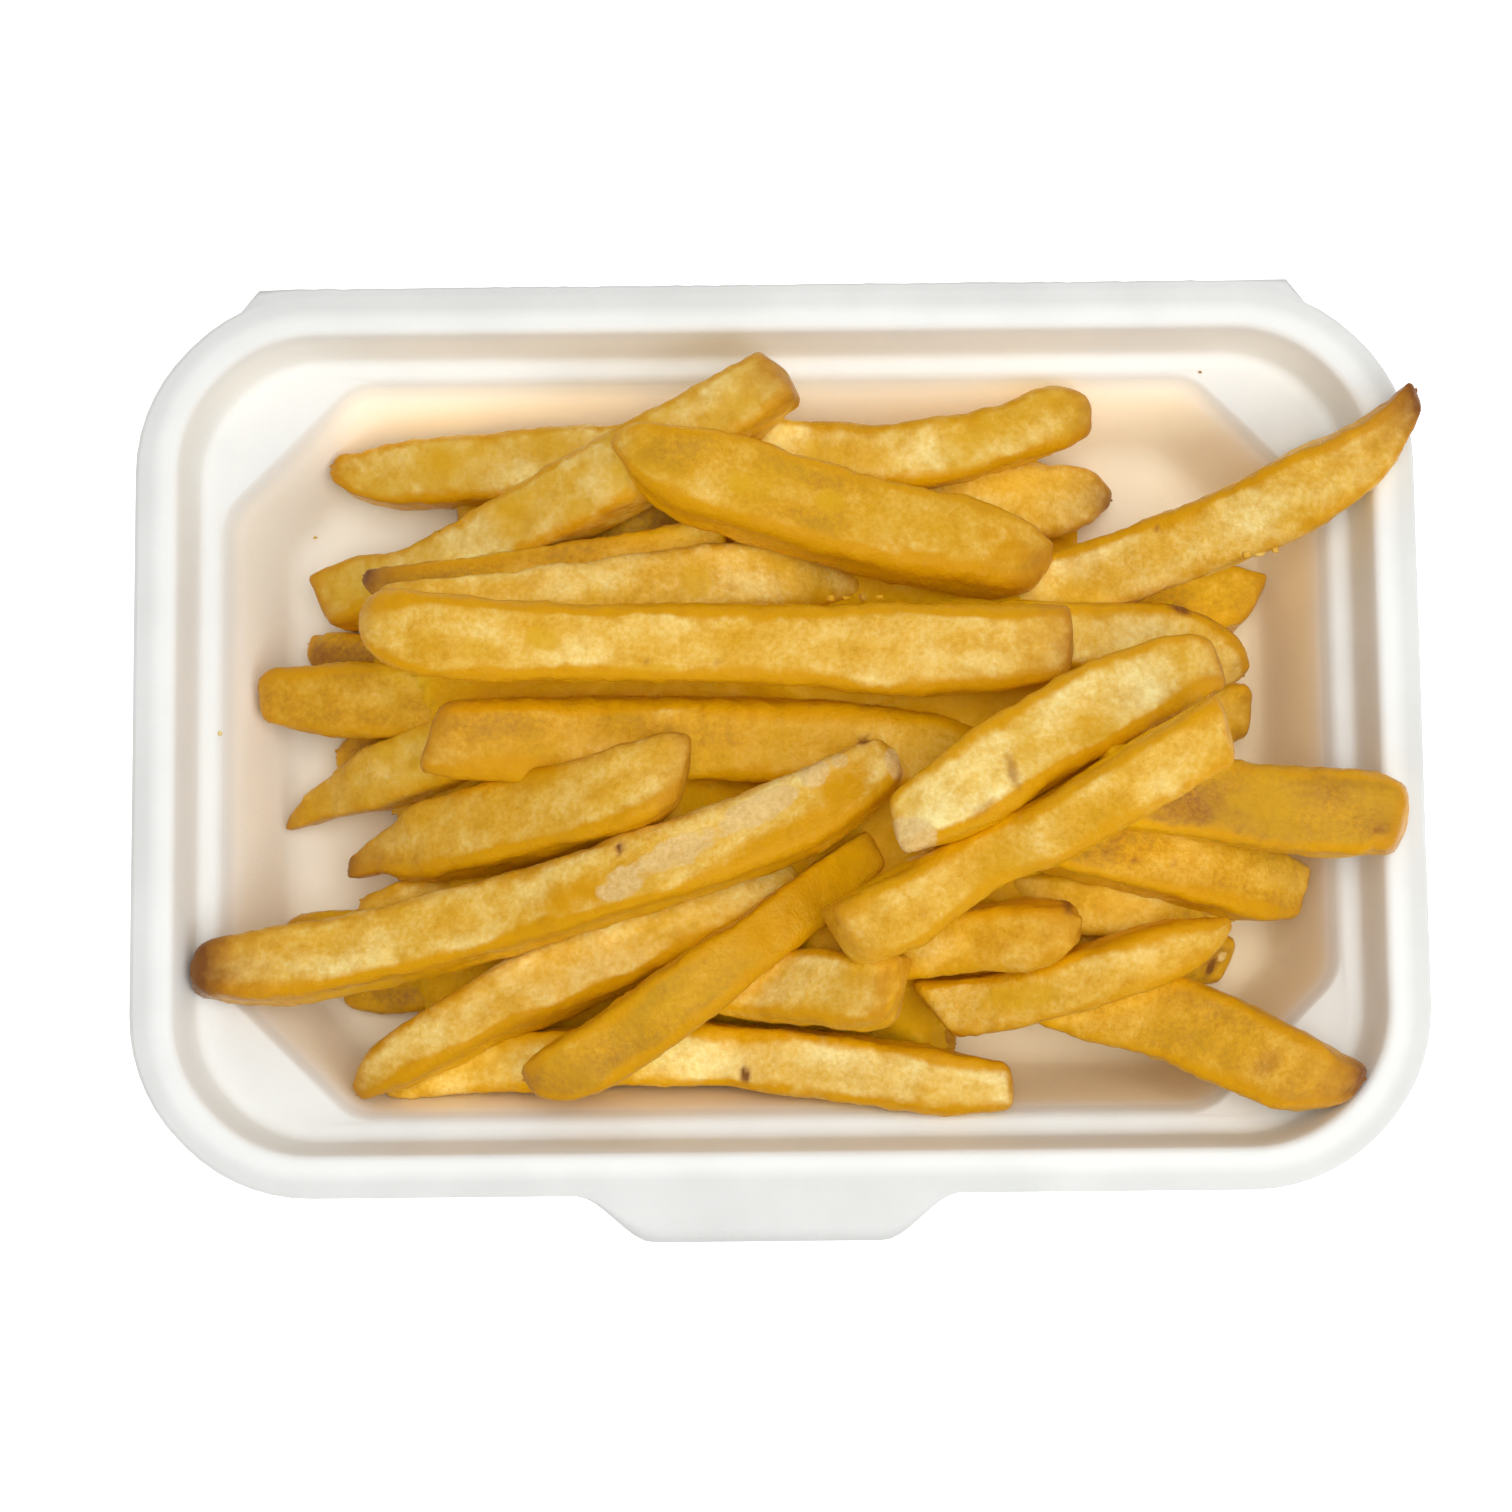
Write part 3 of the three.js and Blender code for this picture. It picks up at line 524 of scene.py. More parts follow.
def patchy(tree, skin, look, mottling, low, high, most=1.0, fade="SMOOTHSTEP"):
    """How far a look shows, from 0 to most: mottling makes its border ragged."""
    ragged = add(tree, "ShaderNodeMath", {
        0: skin["mottle"], 1: mottling, 2: skin[look],
    }, operation="MULTIPLY_ADD").outputs[0]
    return add(tree, "ShaderNodeMapRange", {
        "Value": ragged, "From Min": low, "From Max": high, "To Max": most,
    }, interpolation_type=fade).outputs[0]


def fried_face(tree, skin):
    """The face of the crust, from pale to well done, by tone, clouds, mottling and blisters."""
    done = skin["tone"]
    for pattern, weight in (("clouds", 0.38), ("mottle", 0.24), ("blisters", 0.42)):
        done = add(tree, "ShaderNodeMath", {
            0: skin[pattern], 1: weight, 2: done,
        }, operation="MULTIPLY_ADD").outputs[0]
    done = add(tree, "ShaderNodeMath", {0: done, 1: 0.47}, operation="SUBTRACT").outputs[0]
    face = add(tree, "ShaderNodeValToRGB", {"Fac": done})
    fill_ramp(face, [
        (0.00, "#ebdb9a"),
        (0.20, "#dfbd6a"),
        (0.35, "#d4a640"),
        (0.50, "#c8921c"),
        (0.65, "#ab7922"),
        (0.80, "#8a5626"),
        (1.00, "#653d20"),
    ])
    return face.outputs["Color"]


def oiled(tree, skin, under):
    """Oil: soft random patches as far as the fry is oily, and the soaked places."""
    skin["clouded_oil"] = add(tree, "ShaderNodeMath", {
        0: skin["clouds"], 1: 1.0, 2: skin["oil"],
    }, operation="MULTIPLY_ADD").outputs[0]
    blots = patchy(tree, skin, "clouded_oil", 0.5, 1.0, 1.7, 0.8)
    spots = patchy(tree, skin, "soaked", 0.9, 0.6, 1.4, 0.8)
    wet = add(tree, "ShaderNodeMath", {0: blots, 1: spots}, operation="MAXIMUM").outputs[0]
    return add(tree, "ShaderNodeMix", {
        SHARE: wet, UNDER: under, OVER: linear("#cb9b16"),
    }, data_type="RGBA").outputs[MIXED]


def golden_edged(tree, skin, under):
    """Edges, which fry to a saturated gold, and sides, painted gold as shade."""
    golden = patchy(tree, skin, "band", 0.7, 0.45, 1.0)
    return add(tree, "ShaderNodeMix", {
        SHARE: golden, UNDER: under, OVER: linear("#c98f04"),
    }, data_type="RGBA").outputs[MIXED]


def browned(tree, skin, under):
    """Ends and scorched spots, which turn brown."""
    burnt = patchy(tree, skin, "brown", 0.5, 0.25, 1.0, 0.95, fade="LINEAR")
    scorch = add(tree, "ShaderNodeValToRGB", {"Fac": burnt})
    fill_ramp(scorch, [(0.2, "#a86c26"), (0.6, "#935a24"), (1.0, "#6c3c1e")])
    return add(tree, "ShaderNodeMix", {
        SHARE: burnt, UNDER: under, OVER: scorch.outputs["Color"],
    }, data_type="RGBA").outputs[MIXED]


def torn_open(tree, skin, under):
    """Torn skin, which bares pale, starchy flesh."""
    bared = patchy(tree, skin, "torn", 1.6, 1.15, 1.6, 0.75)
    starch = add(tree, "ShaderNodeValToRGB", {"Fac": skin["blisters"]})
    fill_ramp(starch, [(0.35, "#c9a464"), (0.65, "#dfc48c")])
    return add(tree, "ShaderNodeMix", {
        SHARE: bared, UNDER: under, OVER: starch.outputs["Color"],
    }, data_type="RGBA").outputs[MIXED]


def painted_light_in_heap(tree, skin, under):
    """Painted light: places deep in the heap, where shade falls, are painted brighter and a little
    yellower, standing in for light that reaches them through the fries above.
    """
    glow = add(tree, "ShaderNodeMath", {
        0: skin["deep"], 1: 0.4, 2: 1.0,
    }, operation="MULTIPLY_ADD").outputs[0]
    yellower = add(tree, "ShaderNodeMath", {
        0: skin["deep"], 1: 0.012, 2: 0.5,
    }, operation="MULTIPLY_ADD").outputs[0]
    return add(tree, "ShaderNodeHueSaturation", {
        "Color": under, "Hue": yellower, "Value": glow,
    }).outputs["Color"]


def fried_potato():
    """Potato cut into bars and deep-fried, which leaves a thin, finely blistered crust.

    The eye sees pale, softly clouded faces with saturated golden edges, yellow patches where oil
    has soaked in, brown ends, and light that sinks a little way in before it comes back. Their
    sides are painted golden as shade, and places deep in the heap are painted brighter as light.
    """
    material, tree = new_material("fried_potato")
    place = add(tree, "ShaderNodeTexCoord", {}).outputs["Object"]
    skin = {}
    for name in SKIN_VALUES:
        skin[name] = add(tree, "ShaderNodeAttribute", {}, attribute_name=name).outputs["Fac"]
    for name, size, detail, roughness in SKIN_PATTERNS:
        skin[name] = add(tree, "ShaderNodeTexNoise", {
            "Vector": place, "Scale": 1 / (size * MM), "Detail": detail, "Roughness": roughness,
        }).outputs["Fac"]

    colour = fried_face(tree, skin)
    for layer in (oiled, golden_edged, browned, torn_open, painted_light_in_heap):
        colour = layer(tree, skin, colour)

    puffed = add(tree, "ShaderNodeBump", {
        "Height": skin["mottle"], "Strength": 0.5, "Distance": 0.4 * MM,
    })
    pitted = add(tree, "ShaderNodeBump", {
        "Height": skin["blisters"], "Strength": 1.0, "Distance": 0.2 * MM,
        "Normal": puffed.outputs["Normal"],
    })
    gloss = add(tree, "ShaderNodeMapRange", {
        "Value": skin["clouds"], "From Min": 0.3, "From Max": 0.7, "To Min": 0.22, "To Max": 0.42,
    }).outputs[0]
    crust = add(tree, "ShaderNodeBsdfPrincipled", {
        "Base Color": colour,
        "Roughness": gloss,
        "IOR": 1.4,
        "Specular IOR Level": 0.34,
        "Specular Tint": linear("#ffdf94"),
        "Subsurface Weight": 0.25,
        "Subsurface Scale": 1.0 * MM,
        "Subsurface Radius": (1.2, 0.8, 0.3),
        "Normal": pitted.outputs["Normal"],
    })
    add(tree, "ShaderNodeOutputMaterial", {"Surface": crust.outputs[0]})
    return material


def moulded_pulp():
    """Plant fibre pressed in a heated mould: matt white, finely felted and faintly clouded.

    The eye sees a cool white rim and a warmer inside. Both are painted light: the rim's outer part
    is painted greyer than its inner part, and the inside warm and bright, for the warm light the
    fries bounce into its shade. The back wall is painted to glow, as if daylight came through it.
    """
    material, tree = new_material("moulded_plant_pulp")
    place = add(tree, "ShaderNodeTexCoord", {}).outputs["Object"]
    painted_warm_light = add(tree, "ShaderNodeAttribute", {}, attribute_name="painted_warm_light").outputs["Fac"]
    painted_glow = add(tree, "ShaderNodeAttribute", {}, attribute_name="painted_glow").outputs["Fac"]

    # Only the inside, which faces up, gets the painted light and the painted glow
    facing = add(tree, "ShaderNodeNewGeometry", {}).outputs["True Normal"]
    upward = add(tree, "ShaderNodeSeparateXYZ", {"Vector": facing}).outputs["Z"]
    inside = add(tree, "ShaderNodeMapRange", {
        "Value": upward, "From Min": -0.05, "From Max": 0.05,
    }).outputs[0]
    painted_warm_light = add(tree, "ShaderNodeMath", {0: painted_warm_light, 1: inside}, operation="MULTIPLY").outputs[0]
    painted_glow = add(tree, "ShaderNodeMath", {0: painted_glow, 1: inside}, operation="MULTIPLY").outputs[0]

    # Clouds of 14 mm, and felted fibre drawn as coarse as 0.9 mm so that it shows
    cloud = add(tree, "ShaderNodeTexNoise", {"Vector": place, "Scale": 1 / (14 * MM), "Detail": 4.0})
    felt = add(tree, "ShaderNodeTexNoise", {
        "Vector": place, "Scale": 1 / (0.9 * MM), "Detail": 6.0, "Roughness": 0.65,
    })
    clouds_and_painted_light = add(tree, "ShaderNodeMath", {
        0: cloud.outputs["Fac"], 1: 0.12, 2: painted_warm_light,
    }, operation="MULTIPLY_ADD").outputs[0]
    # Painted light: grey on the outer rim, lighter on the inner rim, warm and bright in the basin
    tint = add(tree, "ShaderNodeValToRGB", {"Fac": clouds_and_painted_light})
    fill_ramp(tint, [
        (0.04, "#d1d2cf"),
        (0.08, "#d8d9d6"),
        (0.16, "#e6e7e4"),
        (0.50, "#fcf9f0"),
        (1.00, "#fff1cf"),
    ])
    relief = add(tree, "ShaderNodeBump", {
        "Height": felt.outputs["Fac"], "Strength": 0.25, "Distance": 0.25 * MM,
    })
    skin = add(tree, "ShaderNodeBsdfPrincipled", {
        "Base Color": tint.outputs["Color"],
        "Roughness": 0.78,
        "IOR": 1.48,
        "Specular IOR Level": 0.3,
        # Painted glow: the back wall glows, though it is no lamp
        "Emission Color": linear("#ffedc8"),
        "Emission Strength": painted_glow,
        "Normal": relief.outputs["Normal"],
    })
    add(tree, "ShaderNodeOutputMaterial", {"Surface": skin.outputs[0]})
    return material


def lit_acrylic():
    """A light table of white acrylic, of which the eye sees next to nothing but even light."""
    material, tree = new_material("lit_white_acrylic")
    place = add(tree, "ShaderNodeTexCoord", {}).outputs["Object"]
    cloud = add(tree, "ShaderNodeTexNoise", {"Vector": place, "Scale": 1 / (60 * MM), "Detail": 3.0})
    tint = add(tree, "ShaderNodeValToRGB", {"Fac": cloud.outputs["Fac"]})
    fill_ramp(tint, [(0.3, "#fbfbfb"), (0.7, "#fefefe")])
    skin = add(tree, "ShaderNodeBsdfPrincipled", {
        "Base Color": tint.outputs["Color"],
        "Roughness": 0.9,
        "Emission Color": tint.outputs["Color"],
        "Emission Strength": 0.45,
    })
    add(tree, "ShaderNodeOutputMaterial", {"Surface": skin.outputs[0]})
    return material


# ---------------------------------------------------------------- tray


def smoothstep(value, low, high):
    """Rises softly from 0 to 1 as a value goes from low to high."""
    t = np.clip((value - low) / (high - low), 0, 1)
    return t * t * (3 - 2 * t)


def smooth_object(name, bm, material):
    """Makes a mesh into an object at the origin, shaded smooth."""
    for face in bm.faces:
        face.smooth = True
    mesh = bpy.data.meshes.new(name)
    bm.to_mesh(mesh)
    bm.free()
    mesh.materials.append(material)
    made = bpy.data.objects.new(name, mesh)
    bpy.context.collection.objects.link(made)
    return made


def mesh_points(mesh):
    """Places of a mesh's vertices, one in each row."""
    points = np.empty(len(mesh.vertices) * 3)
    mesh.vertices.foreach_get("co", points)
    return points.reshape(-1, 3)


def set_values(mesh, values):
    """Gives a mesh what its material reads: by name, one number or one for every point."""
    for name, value in values.items():
        spread = np.full(len(mesh.vertices), value, float)
        mesh.attributes.new(name, "FLOAT", "POINT").data.foreach_set("value", spread)


def interpolate(profile, inset):
    """Height read off a profile of (inset, height) at an inset."""
    return float(np.interp(inset, [p[0] for p in profile], [p[1] for p in profile]))


def inset_at(x, y):
    """How far a place lies inside the flange's edge."""
    beside_x = abs(x) - (HALF_LENGTH - CORNER_RADIUS)
    beside_y = abs(y) - (HALF_DEPTH - CORNER_RADIUS)
    rounded = math.hypot(max(beside_x, 0), max(beside_y, 0))
    return CORNER_RADIUS - rounded - min(max(beside_x, beside_y), 0)


def tray_height(x, y):
    """Height of the empty tray's inside at a place."""
    basin_x = HALF_LENGTH - BASIN_INSET
    basin_y = HALF_DEPTH - BASIN_INSET
    ax, ay = abs(x), abs(y)
    corner = (basin_x + basin_y - BASIN_CUT - ax - ay) / math.sqrt(2)
    in_basin = min(basin_x - ax, basin_y - ay, corner)
    if in_basin >= 0:
        return interpolate(PROFILE, BASIN_INSET + in_basin)
    return interpolate(PROFILE, min(inset_at(x, y), BASIN_INSET))


def ring_points(inset):
    """The tray's outline at an inset from the flange's edge, as (x, y) in millimetres."""
    half_x = HALF_LENGTH - inset
    half_y = HALF_DEPTH - inset
    if inset >= BASIN_INSET:
        cut = BASIN_CUT - (inset - BASIN_INSET) * (2 - math.sqrt(2))
        radius = BASIN_RADIUS
    else:
        radius = CORNER_RADIUS - inset
        cut = radius * (2 - math.sqrt(2)) + CORNER_FLAT
    lean = radius * (math.sqrt(2) - 1)
    arcs = []
    for eighth in range(8):
        start = eighth * math.pi / 4
        middle = start + math.pi / 8
        beside_x = abs(math.cos(middle)) > abs(math.sin(middle))
        centre_x = half_x - radius if beside_x else half_x - cut - lean
        centre_y = half_y - cut - lean if beside_x else half_y - radius
        centre = np.copysign([centre_x, centre_y], [math.cos(middle), math.sin(middle)])
        angles = np.linspace(start, start + math.pi / 4, ARC_STEPS + 1)
        arcs.append(centre + radius * np.column_stack([np.cos(angles), np.sin(angles)]))
    points = []
    for eighth, arc in enumerate(arcs):
        following = arcs[(eighth + 1) % 8]
        steps = (FLAT_STEPS, LONG_STEPS, FLAT_STEPS, SHORT_STEPS)[eighth % 4]
        points.extend(arc[:-1])
        shares = np.linspace(0, 1, steps + 1)[:-1, None]
        points.extend(arc[-1] * (1 - shares) + following[0] * shares)
    return np.array(points)


def rounded_profile(passes=2):
    """The profile with its corners cut finer and finer, as a mould rounds them."""
    points = np.array(PROFILE)
    for _ in range(passes):
        near = points[:-1] * 0.75 + points[1:] * 0.25
        far = points[:-1] * 0.25 + points[1:] * 0.75
        middle = np.empty((2 * len(near), 2))
        middle[0::2] = near
        middle[1::2] = far
        points = np.vstack([points[:1], middle, points[-1:]])
    return points


def tab_reach(x):
    """How far the opening tab stands out of the flange's front edge at x."""
    from_root = TAB_HALF_ROOT - abs(x - TAB_CENTRE)
    return (TAB_REACH - HALF_DEPTH) * smoothstep(from_root, 0, TAB_HALF_ROOT - TAB_HALF_TIP)


def strip_reach(x):
    """How far from the tray's middle line the torn hinge strip reaches at x."""
    share = min(max((STRIP_HALF_LENGTH + 2 - abs(x)) / STRIP_END, 0), 1)
    notch = NOTCH_DEPTH * math.exp(-(((x - NOTCH_PLACE) / NOTCH_HALF_WIDTH) ** 2))
    ragged = COARSE_TEAR * (noise.noise(Vector((x * 0.9, 3.1, 0))) - 1)
    ragged += FINE_TEAR * (noise.noise(Vector((x * 2.3, 8, 0))) - 1)
    return (STRIP_REACH + ragged - notch) * share


def edge_ring(share):
    """The sheet beyond the flange: the edge, widened at the tab and the hinge strip."""
    points = ring_points(EDGE_INSET * (1 - share))
    for point in points:
        if point[1] < 0:
            point[1] -= tab_reach(point[0]) * share if abs(point[0]) < HALF_LENGTH / 2 else 0
        else:
            point[1] = max(point[1], point[1] + (strip_reach(point[0]) - point[1]) * share)
    return points


def pulp_sheet():
    """The tray's upper surface, drawn up ring by ring from the floor."""
    profile = rounded_profile()[::-1]
    rings = [(ring_points(inset), height) for inset, height in profile]
    rings += [(edge_ring(share), RIM_HEIGHT - drop) for share, drop in EDGE_RINGS]
    bm = bmesh.new()
    place = bm.verts.layers.int.new("place")
    count = len(rings[0][0])
    bmesh.ops.create_circle(bm, segments=count, radius=1, cap_ends=True)
    bm.verts.ensure_lookup_table()
    for i, vert in enumerate(bm.verts):
        vert[place] = i
    turn = 1 if bm.verts[1].co.cross(bm.verts[0].co).z < 0 else -1

    def lay(verts, ring, height):
        for vert in verts:
            x, y = ring[(turn * vert[place]) % count]
            lift = WARP * noise.noise(Vector((x / WARP_SIZE, y / WARP_SIZE, height / 20)))
            vert.co = Vector((x, y, height + lift * min(height / LEDGE_HEIGHT, 1))) * MM

    lay(bm.verts, *rings[0])
    rim = list(bm.edges)
    for ring, height in rings[1:]:
        made = bmesh.ops.extrude_edge_only(bm, edges=rim)["geom"]
        lay([g for g in made if isinstance(g, bmesh.types.BMVert)], ring, height)
        rim = [g for g in made if isinstance(g, bmesh.types.BMEdge)]
    bmesh.ops.recalc_face_normals(bm, faces=bm.faces)
    floor = max(bm.faces, key=lambda face: face.calc_area())
    if floor.normal.z < 0:
        bmesh.ops.reverse_faces(bm, faces=bm.faces)
    return bm


def pulp_values(x, y, z):
    """What the pulp's material reads: painted light and painted glow at each point.

    The inner flange is painted lighter and the basin warm and bright, most to the front and right:
    painted light. The back wall is painted to glow, below the rim and more so below the ledge.
    """
    # Painted light: the inner flange lighter, the basin warmer and brighter to the front and right
    below_ledge = smoothstep(1 - z / LEDGE_HEIGHT, 0.04, 0.3)
    to_front = smoothstep(x / HALF_LENGTH - y / HALF_DEPTH, -1, 0.9)
    inset = np.array([inset_at(*place) for place in zip(x, y)])
    # Painted glow on the back wall, standing in for light through the pulp
    painted_glow = 0.07 * smoothstep(RIM_HEIGHT - z, 1, 4) + 0.25 * smoothstep(LEDGE_HEIGHT - z, 0.2, 4)
    return {
        "painted_warm_light": 0.1 * smoothstep(inset, 1.8, 4.2) + below_ledge * (0.4 + 0.5 * to_front),
        "painted_glow": painted_glow * smoothstep(y, HALF_DEPTH - 20, HALF_DEPTH - 11),
    }


def pulp_tray(material):
    """The tray: one sheet, thickened below its upper surface."""
    tray = smooth_object("pulp_tray", pulp_sheet(), material)
    set_values(tray.data, pulp_values(*mesh_points(tray.data).T / MM))
    wall = tray.modifiers.new("wall", "SOLIDIFY")
    wall.thickness = (PULP - SHEET_PLAY) * MM
    wall.offset = -1
    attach(tray, "root")
    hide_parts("tray")


# ---------------------------------------------------------------- how the fries lie


def smooth_route(route):
    """Points of a smooth line through a route, at equal steps: x, y and width."""
    points = np.array(route, float)
    knots = np.vstack([2 * points[0] - points[1], points, 2 * points[-1] - points[-2]])
    line = []
    for station in range(STATIONS):
        along = station / (STATIONS - 1) * (len(route) - 1)
        first = min(int(along), len(route) - 2)
        t = along - first
        a, b, c, d = knots[first : first + 4]
        bend = (2 * a - 5 * b + 4 * c - d) * t * t + (3 * b - a - 3 * c + d) * t * t * t
        line.append(0.5 * (2 * b + (c - a) * t + bend))
    return np.array(line)


def fry_stations(route):
    """Stations along a fry: place, width, distance from its middle and sideways direction."""
    line = smooth_route(route)
    places, widths = line[:, :2], line[:, 2]
    steps = np.linalg.norm(np.diff(places, axis=0), axis=1)
    along = np.concatenate([[0], np.cumsum(steps)])
    heading = np.vstack([places[1:], places[-1:]]) - np.vstack([places[:1], places[:-1]])
    heading /= np.linalg.norm(heading, axis=1)[:, None]
    side = np.column_stack([-heading[:, 1], heading[:, 0]])
    return places, widths, along - along[-1] / 2, side


def cell_of(x, y):
    """Row and column of the heap's cell at a place."""
    column = min(max(math.floor(x / CELL + GRID_X / 2), 0), GRID_X - 1)
    row = min(max(math.floor(y / CELL + GRID_Y / 2), 0), GRID_Y - 1)
    return row, column


def cell_middle(row, column):
    """Place of the middle of one of the heap's cells."""
    return (column + 0.5 - GRID_X / 2) * CELL, (row + 0.5 - GRID_Y / 2) * CELL


def bell(distance, reach):
    """Weight that falls from 1 to 0 over a reach to either side."""
    return 0.5 + 0.5 * np.cos(np.pi * np.minimum(np.abs(distance) / reach, 1))


def eased(heights, along):
    """Heights smoothed along a fry: each is read off the straight line that fits those near it."""
    smooth = np.empty(STATIONS)
    for i in range(STATIONS):
        weight = bell(along - along[i], EASE_REACH)
        weight /= weight.sum()
        place, level = (weight * along).sum(), (weight * heights).sum()
        spread = (weight * (along - place) ** 2).sum()
        slope = (weight * (along - place) * (heights - level)).sum() / spread
        smooth[i] = level + slope * (along[i] - place)
    return smooth


def lifted(heights, least, along):
    """Heights raised to the least ones where the tray is higher, and gently beside such places."""
    share = bell(along[:, None] - along, LIFT_REACH)
    return heights + (share * np.maximum(least - heights, 0)).max(axis=1)


def lay_fry(fry, heap):
    """Lays one fry on the heap: gives every station its height and raises the heap."""
    places, widths, along, side = fry_stations(fry.route)
    need = np.empty(STATIONS)
    least = np.empty(STATIONS)
    for i, (x, y) in enumerate(places):
        reaches = [across * widths[i] for across in FEELERS]
        support = max(heap[cell_of(x + side[i][0] * r, y + side[i][1] * r)] for r in reaches)
        need[i] = support + GAP + fry.flat * widths[i] / 2
        least[i] = tray_height(x, y) + GAP + fry.flat * widths[i] / 2
    slope = (along * (need - need.mean())).sum() / (along * along).sum()
    slope = min(max(slope, -STEEPEST), STEEPEST)
    level = np.sort(need - slope * along)[math.floor(RESTING_SHARE * (STATIONS - 1))]
    straight = level + slope * along
    space = straight - need
    bent = straight - PRESS - np.where(space > 0, np.minimum(space * HANG, MOST_HANG), space * GIVE)
    heights = lifted(eased(bent, along), least, along)
    laid = Laid(places, widths, along, side, heights)
    raise_heap(laid, fry.flat, heap)
    return laid


def raise_heap(laid, flat, heap):
    """Marks the top of a laid fry in the heap's heights."""
    between = 6
    across = 14
    for i in range(STATIONS - 1):
        side = laid.side[i]
        for part in range(between):
            t = part / between
            x, y = laid.places[i] * (1 - t) + laid.places[i + 1] * t
            width = laid.widths[i] * (1 - t) + laid.widths[i + 1] * t
            middle = laid.heights[i] * (1 - t) + laid.heights[i + 1] * t
            for step in range(across + 1):
                share = step / across - 0.5
                top = middle + flat * width / 2 * (1 - TOP_ROUNDING * (2 * abs(share)) ** 4)
                cell = cell_of(x + side[0] * share * width, y + side[1] * share * width)
                heap[cell] = max(heap[cell], top)


def empty_tray_heights():
    """The heap's heights before the first fry is laid."""
    heap = np.empty((GRID_Y, GRID_X))
    for cell in np.ndindex(heap.shape):
        heap[cell] = tray_height(*cell_middle(*cell))
    return heap


# ---------------------------------------------------------------- fries


def ring_places(length):
    """Places of a fry's cross-sections along it, closer together towards its ends."""
    places = [0.0]
    while places[-1] < length / 2:
        places.append(places[-1] + min(RING_STEP, END_STEP + STEP_GROWTH * places[-1]))
    half = np.array(places) * (length / 2) / places[-1]
    return np.concatenate([half, length - half[-2::-1]]) - length / 2


def plain_bar(rings):
    """A unit bar divided evenly into rings along it and into steps round it."""
    bm = bmesh.new()
    bmesh.ops.create_cube(bm, size=1)
    for axis, cuts in ((0, rings - 2), (1, SIDE_STEPS - 1), (2, SIDE_STEPS - 1)):
        lines = [e for e in bm.edges if abs(e.verts[0].co[axis] - e.verts[1].co[axis]) > 0.5]
        bmesh.ops.subdivide_edges(bm, edges=lines, cuts=cuts, use_grid_fill=True)
    return bm


def ripple(points, size, seed):
    """Smooth noise at each point, for bumps of a size in millimetres; each seed's differs."""
    offset = Vector((seed * 17.3, seed * 5.9, seed * 11.1))
    return np.array([noise.noise(Vector(p) / size + offset) for p in points])


def rounded_section(square, seed):
    """A square section's points with its four edges rounded, and the way each point faces."""
    reach = np.maximum(np.abs(square).max(axis=1), TINY)[:, None]
    rim = square / reach
    corner = (rim[:, 0] > 0) * 2 + (rim[:, 1] > 0)
    radius = (EDGE_RADIUS + EDGE_RADIUS_SPREAD * np.sin(seed * 1.9 + corner * 2.3))[:, None]
    inner = np.sign(rim) * np.minimum(np.abs(rim), 1 - radius)
    facing = rim - inner
    facing /= np.maximum(np.linalg.norm(facing, axis=1), TINY)[:, None]
    return (inner + radius * facing) * reach, facing


def turned(points, angle):
    """Points (across, up) turned about a fry's length by an angle in radians for each."""
    across = points[:, 0] * np.cos(angle) - points[:, 1] * np.sin(angle)
    up = points[:, 0] * np.sin(angle) + points[:, 1] * np.cos(angle)
    return np.column_stack([across, up])


def golden_bands(fry, unit, half, to_end, seed):
    """How golden each point is: by its long edges, on its sides as painted shade, and round its
    ends.
    """
    s = unit[:, 0]
    square = np.abs(unit[:, 1:] * 2)
    to_edge = (1 - square.min(axis=1) / np.maximum(square.max(axis=1), TINY)) * half
    left = unit[:, 1] > 0
    beside = np.column_stack([s, left * SIDES_APART, s * 0])
    reach = BAND_REACH + BAND_REACH_SPREAD * ripple(beside, BAND_REACH_SIZE, seed + 5)
    near_edge = 1 - smoothstep(to_edge / np.maximum(reach, 1), 0.15, 1)
    # The fry's side faces are painted golden: painted shade and warm bounce light between fries
    on_side = smoothstep(square[:, 0] - square[:, 1] * fry.flat, -0.05, 0.1)
    strength = np.where(left, fry.bands[0], fry.bands[1])
    strength = strength + BAND_SPREAD * ripple(beside, BAND_SPREAD_SIZE, seed + 8)
    band = np.maximum(near_edge, SIDE_PAINTED_SHADE * on_side) * strength
    end_rim = 1 - smoothstep(to_end, 0.3, END_BAND_REACH)
    return np.maximum(band, END_BAND * end_rim)


def browned_ends(fry, from_first, from_last):
    """How brown each point is, from a fry's two ends inwards."""
    brown = np.zeros(len(from_first))
    for amount, away in ((fry.brown[0], from_first), (fry.brown[1], from_last)):
        reach = BROWN_REACH + BROWN_REACH_GROWTH * amount
        brown = np.maximum(brown, amount * np.exp(-away / reach))
    return brown


def fry_surface(fry, laid, unit, seed):
    """How a fry's skin looks at each point: tone, golden band, brown end and oil."""
    widths, along = laid.widths, laid.along
    s = unit[:, 0]
    length = along[-1] - along[0]
    from_first, from_last = length / 2 + s, length / 2 - s
    half = np.interp(s, along, widths) / 2
    share = from_first / length
    wide = unit[:, 1:] * half[:, None] / STREAK_WIDTH
    streaks = STREAK * ripple(np.column_stack([s / STREAK_LENGTH, wide]), 1, seed + 17)
    return {
        "tone": fry.tone[0] * (1 - share) + fry.tone[1] * share + streaks,
        "band": golden_bands(fry, unit, half, np.minimum(from_first, from_last), seed),
        "brown": browned_ends(fry, from_first, from_last),
        "oil": OIL_STRENGTH * fry.oil,
    }


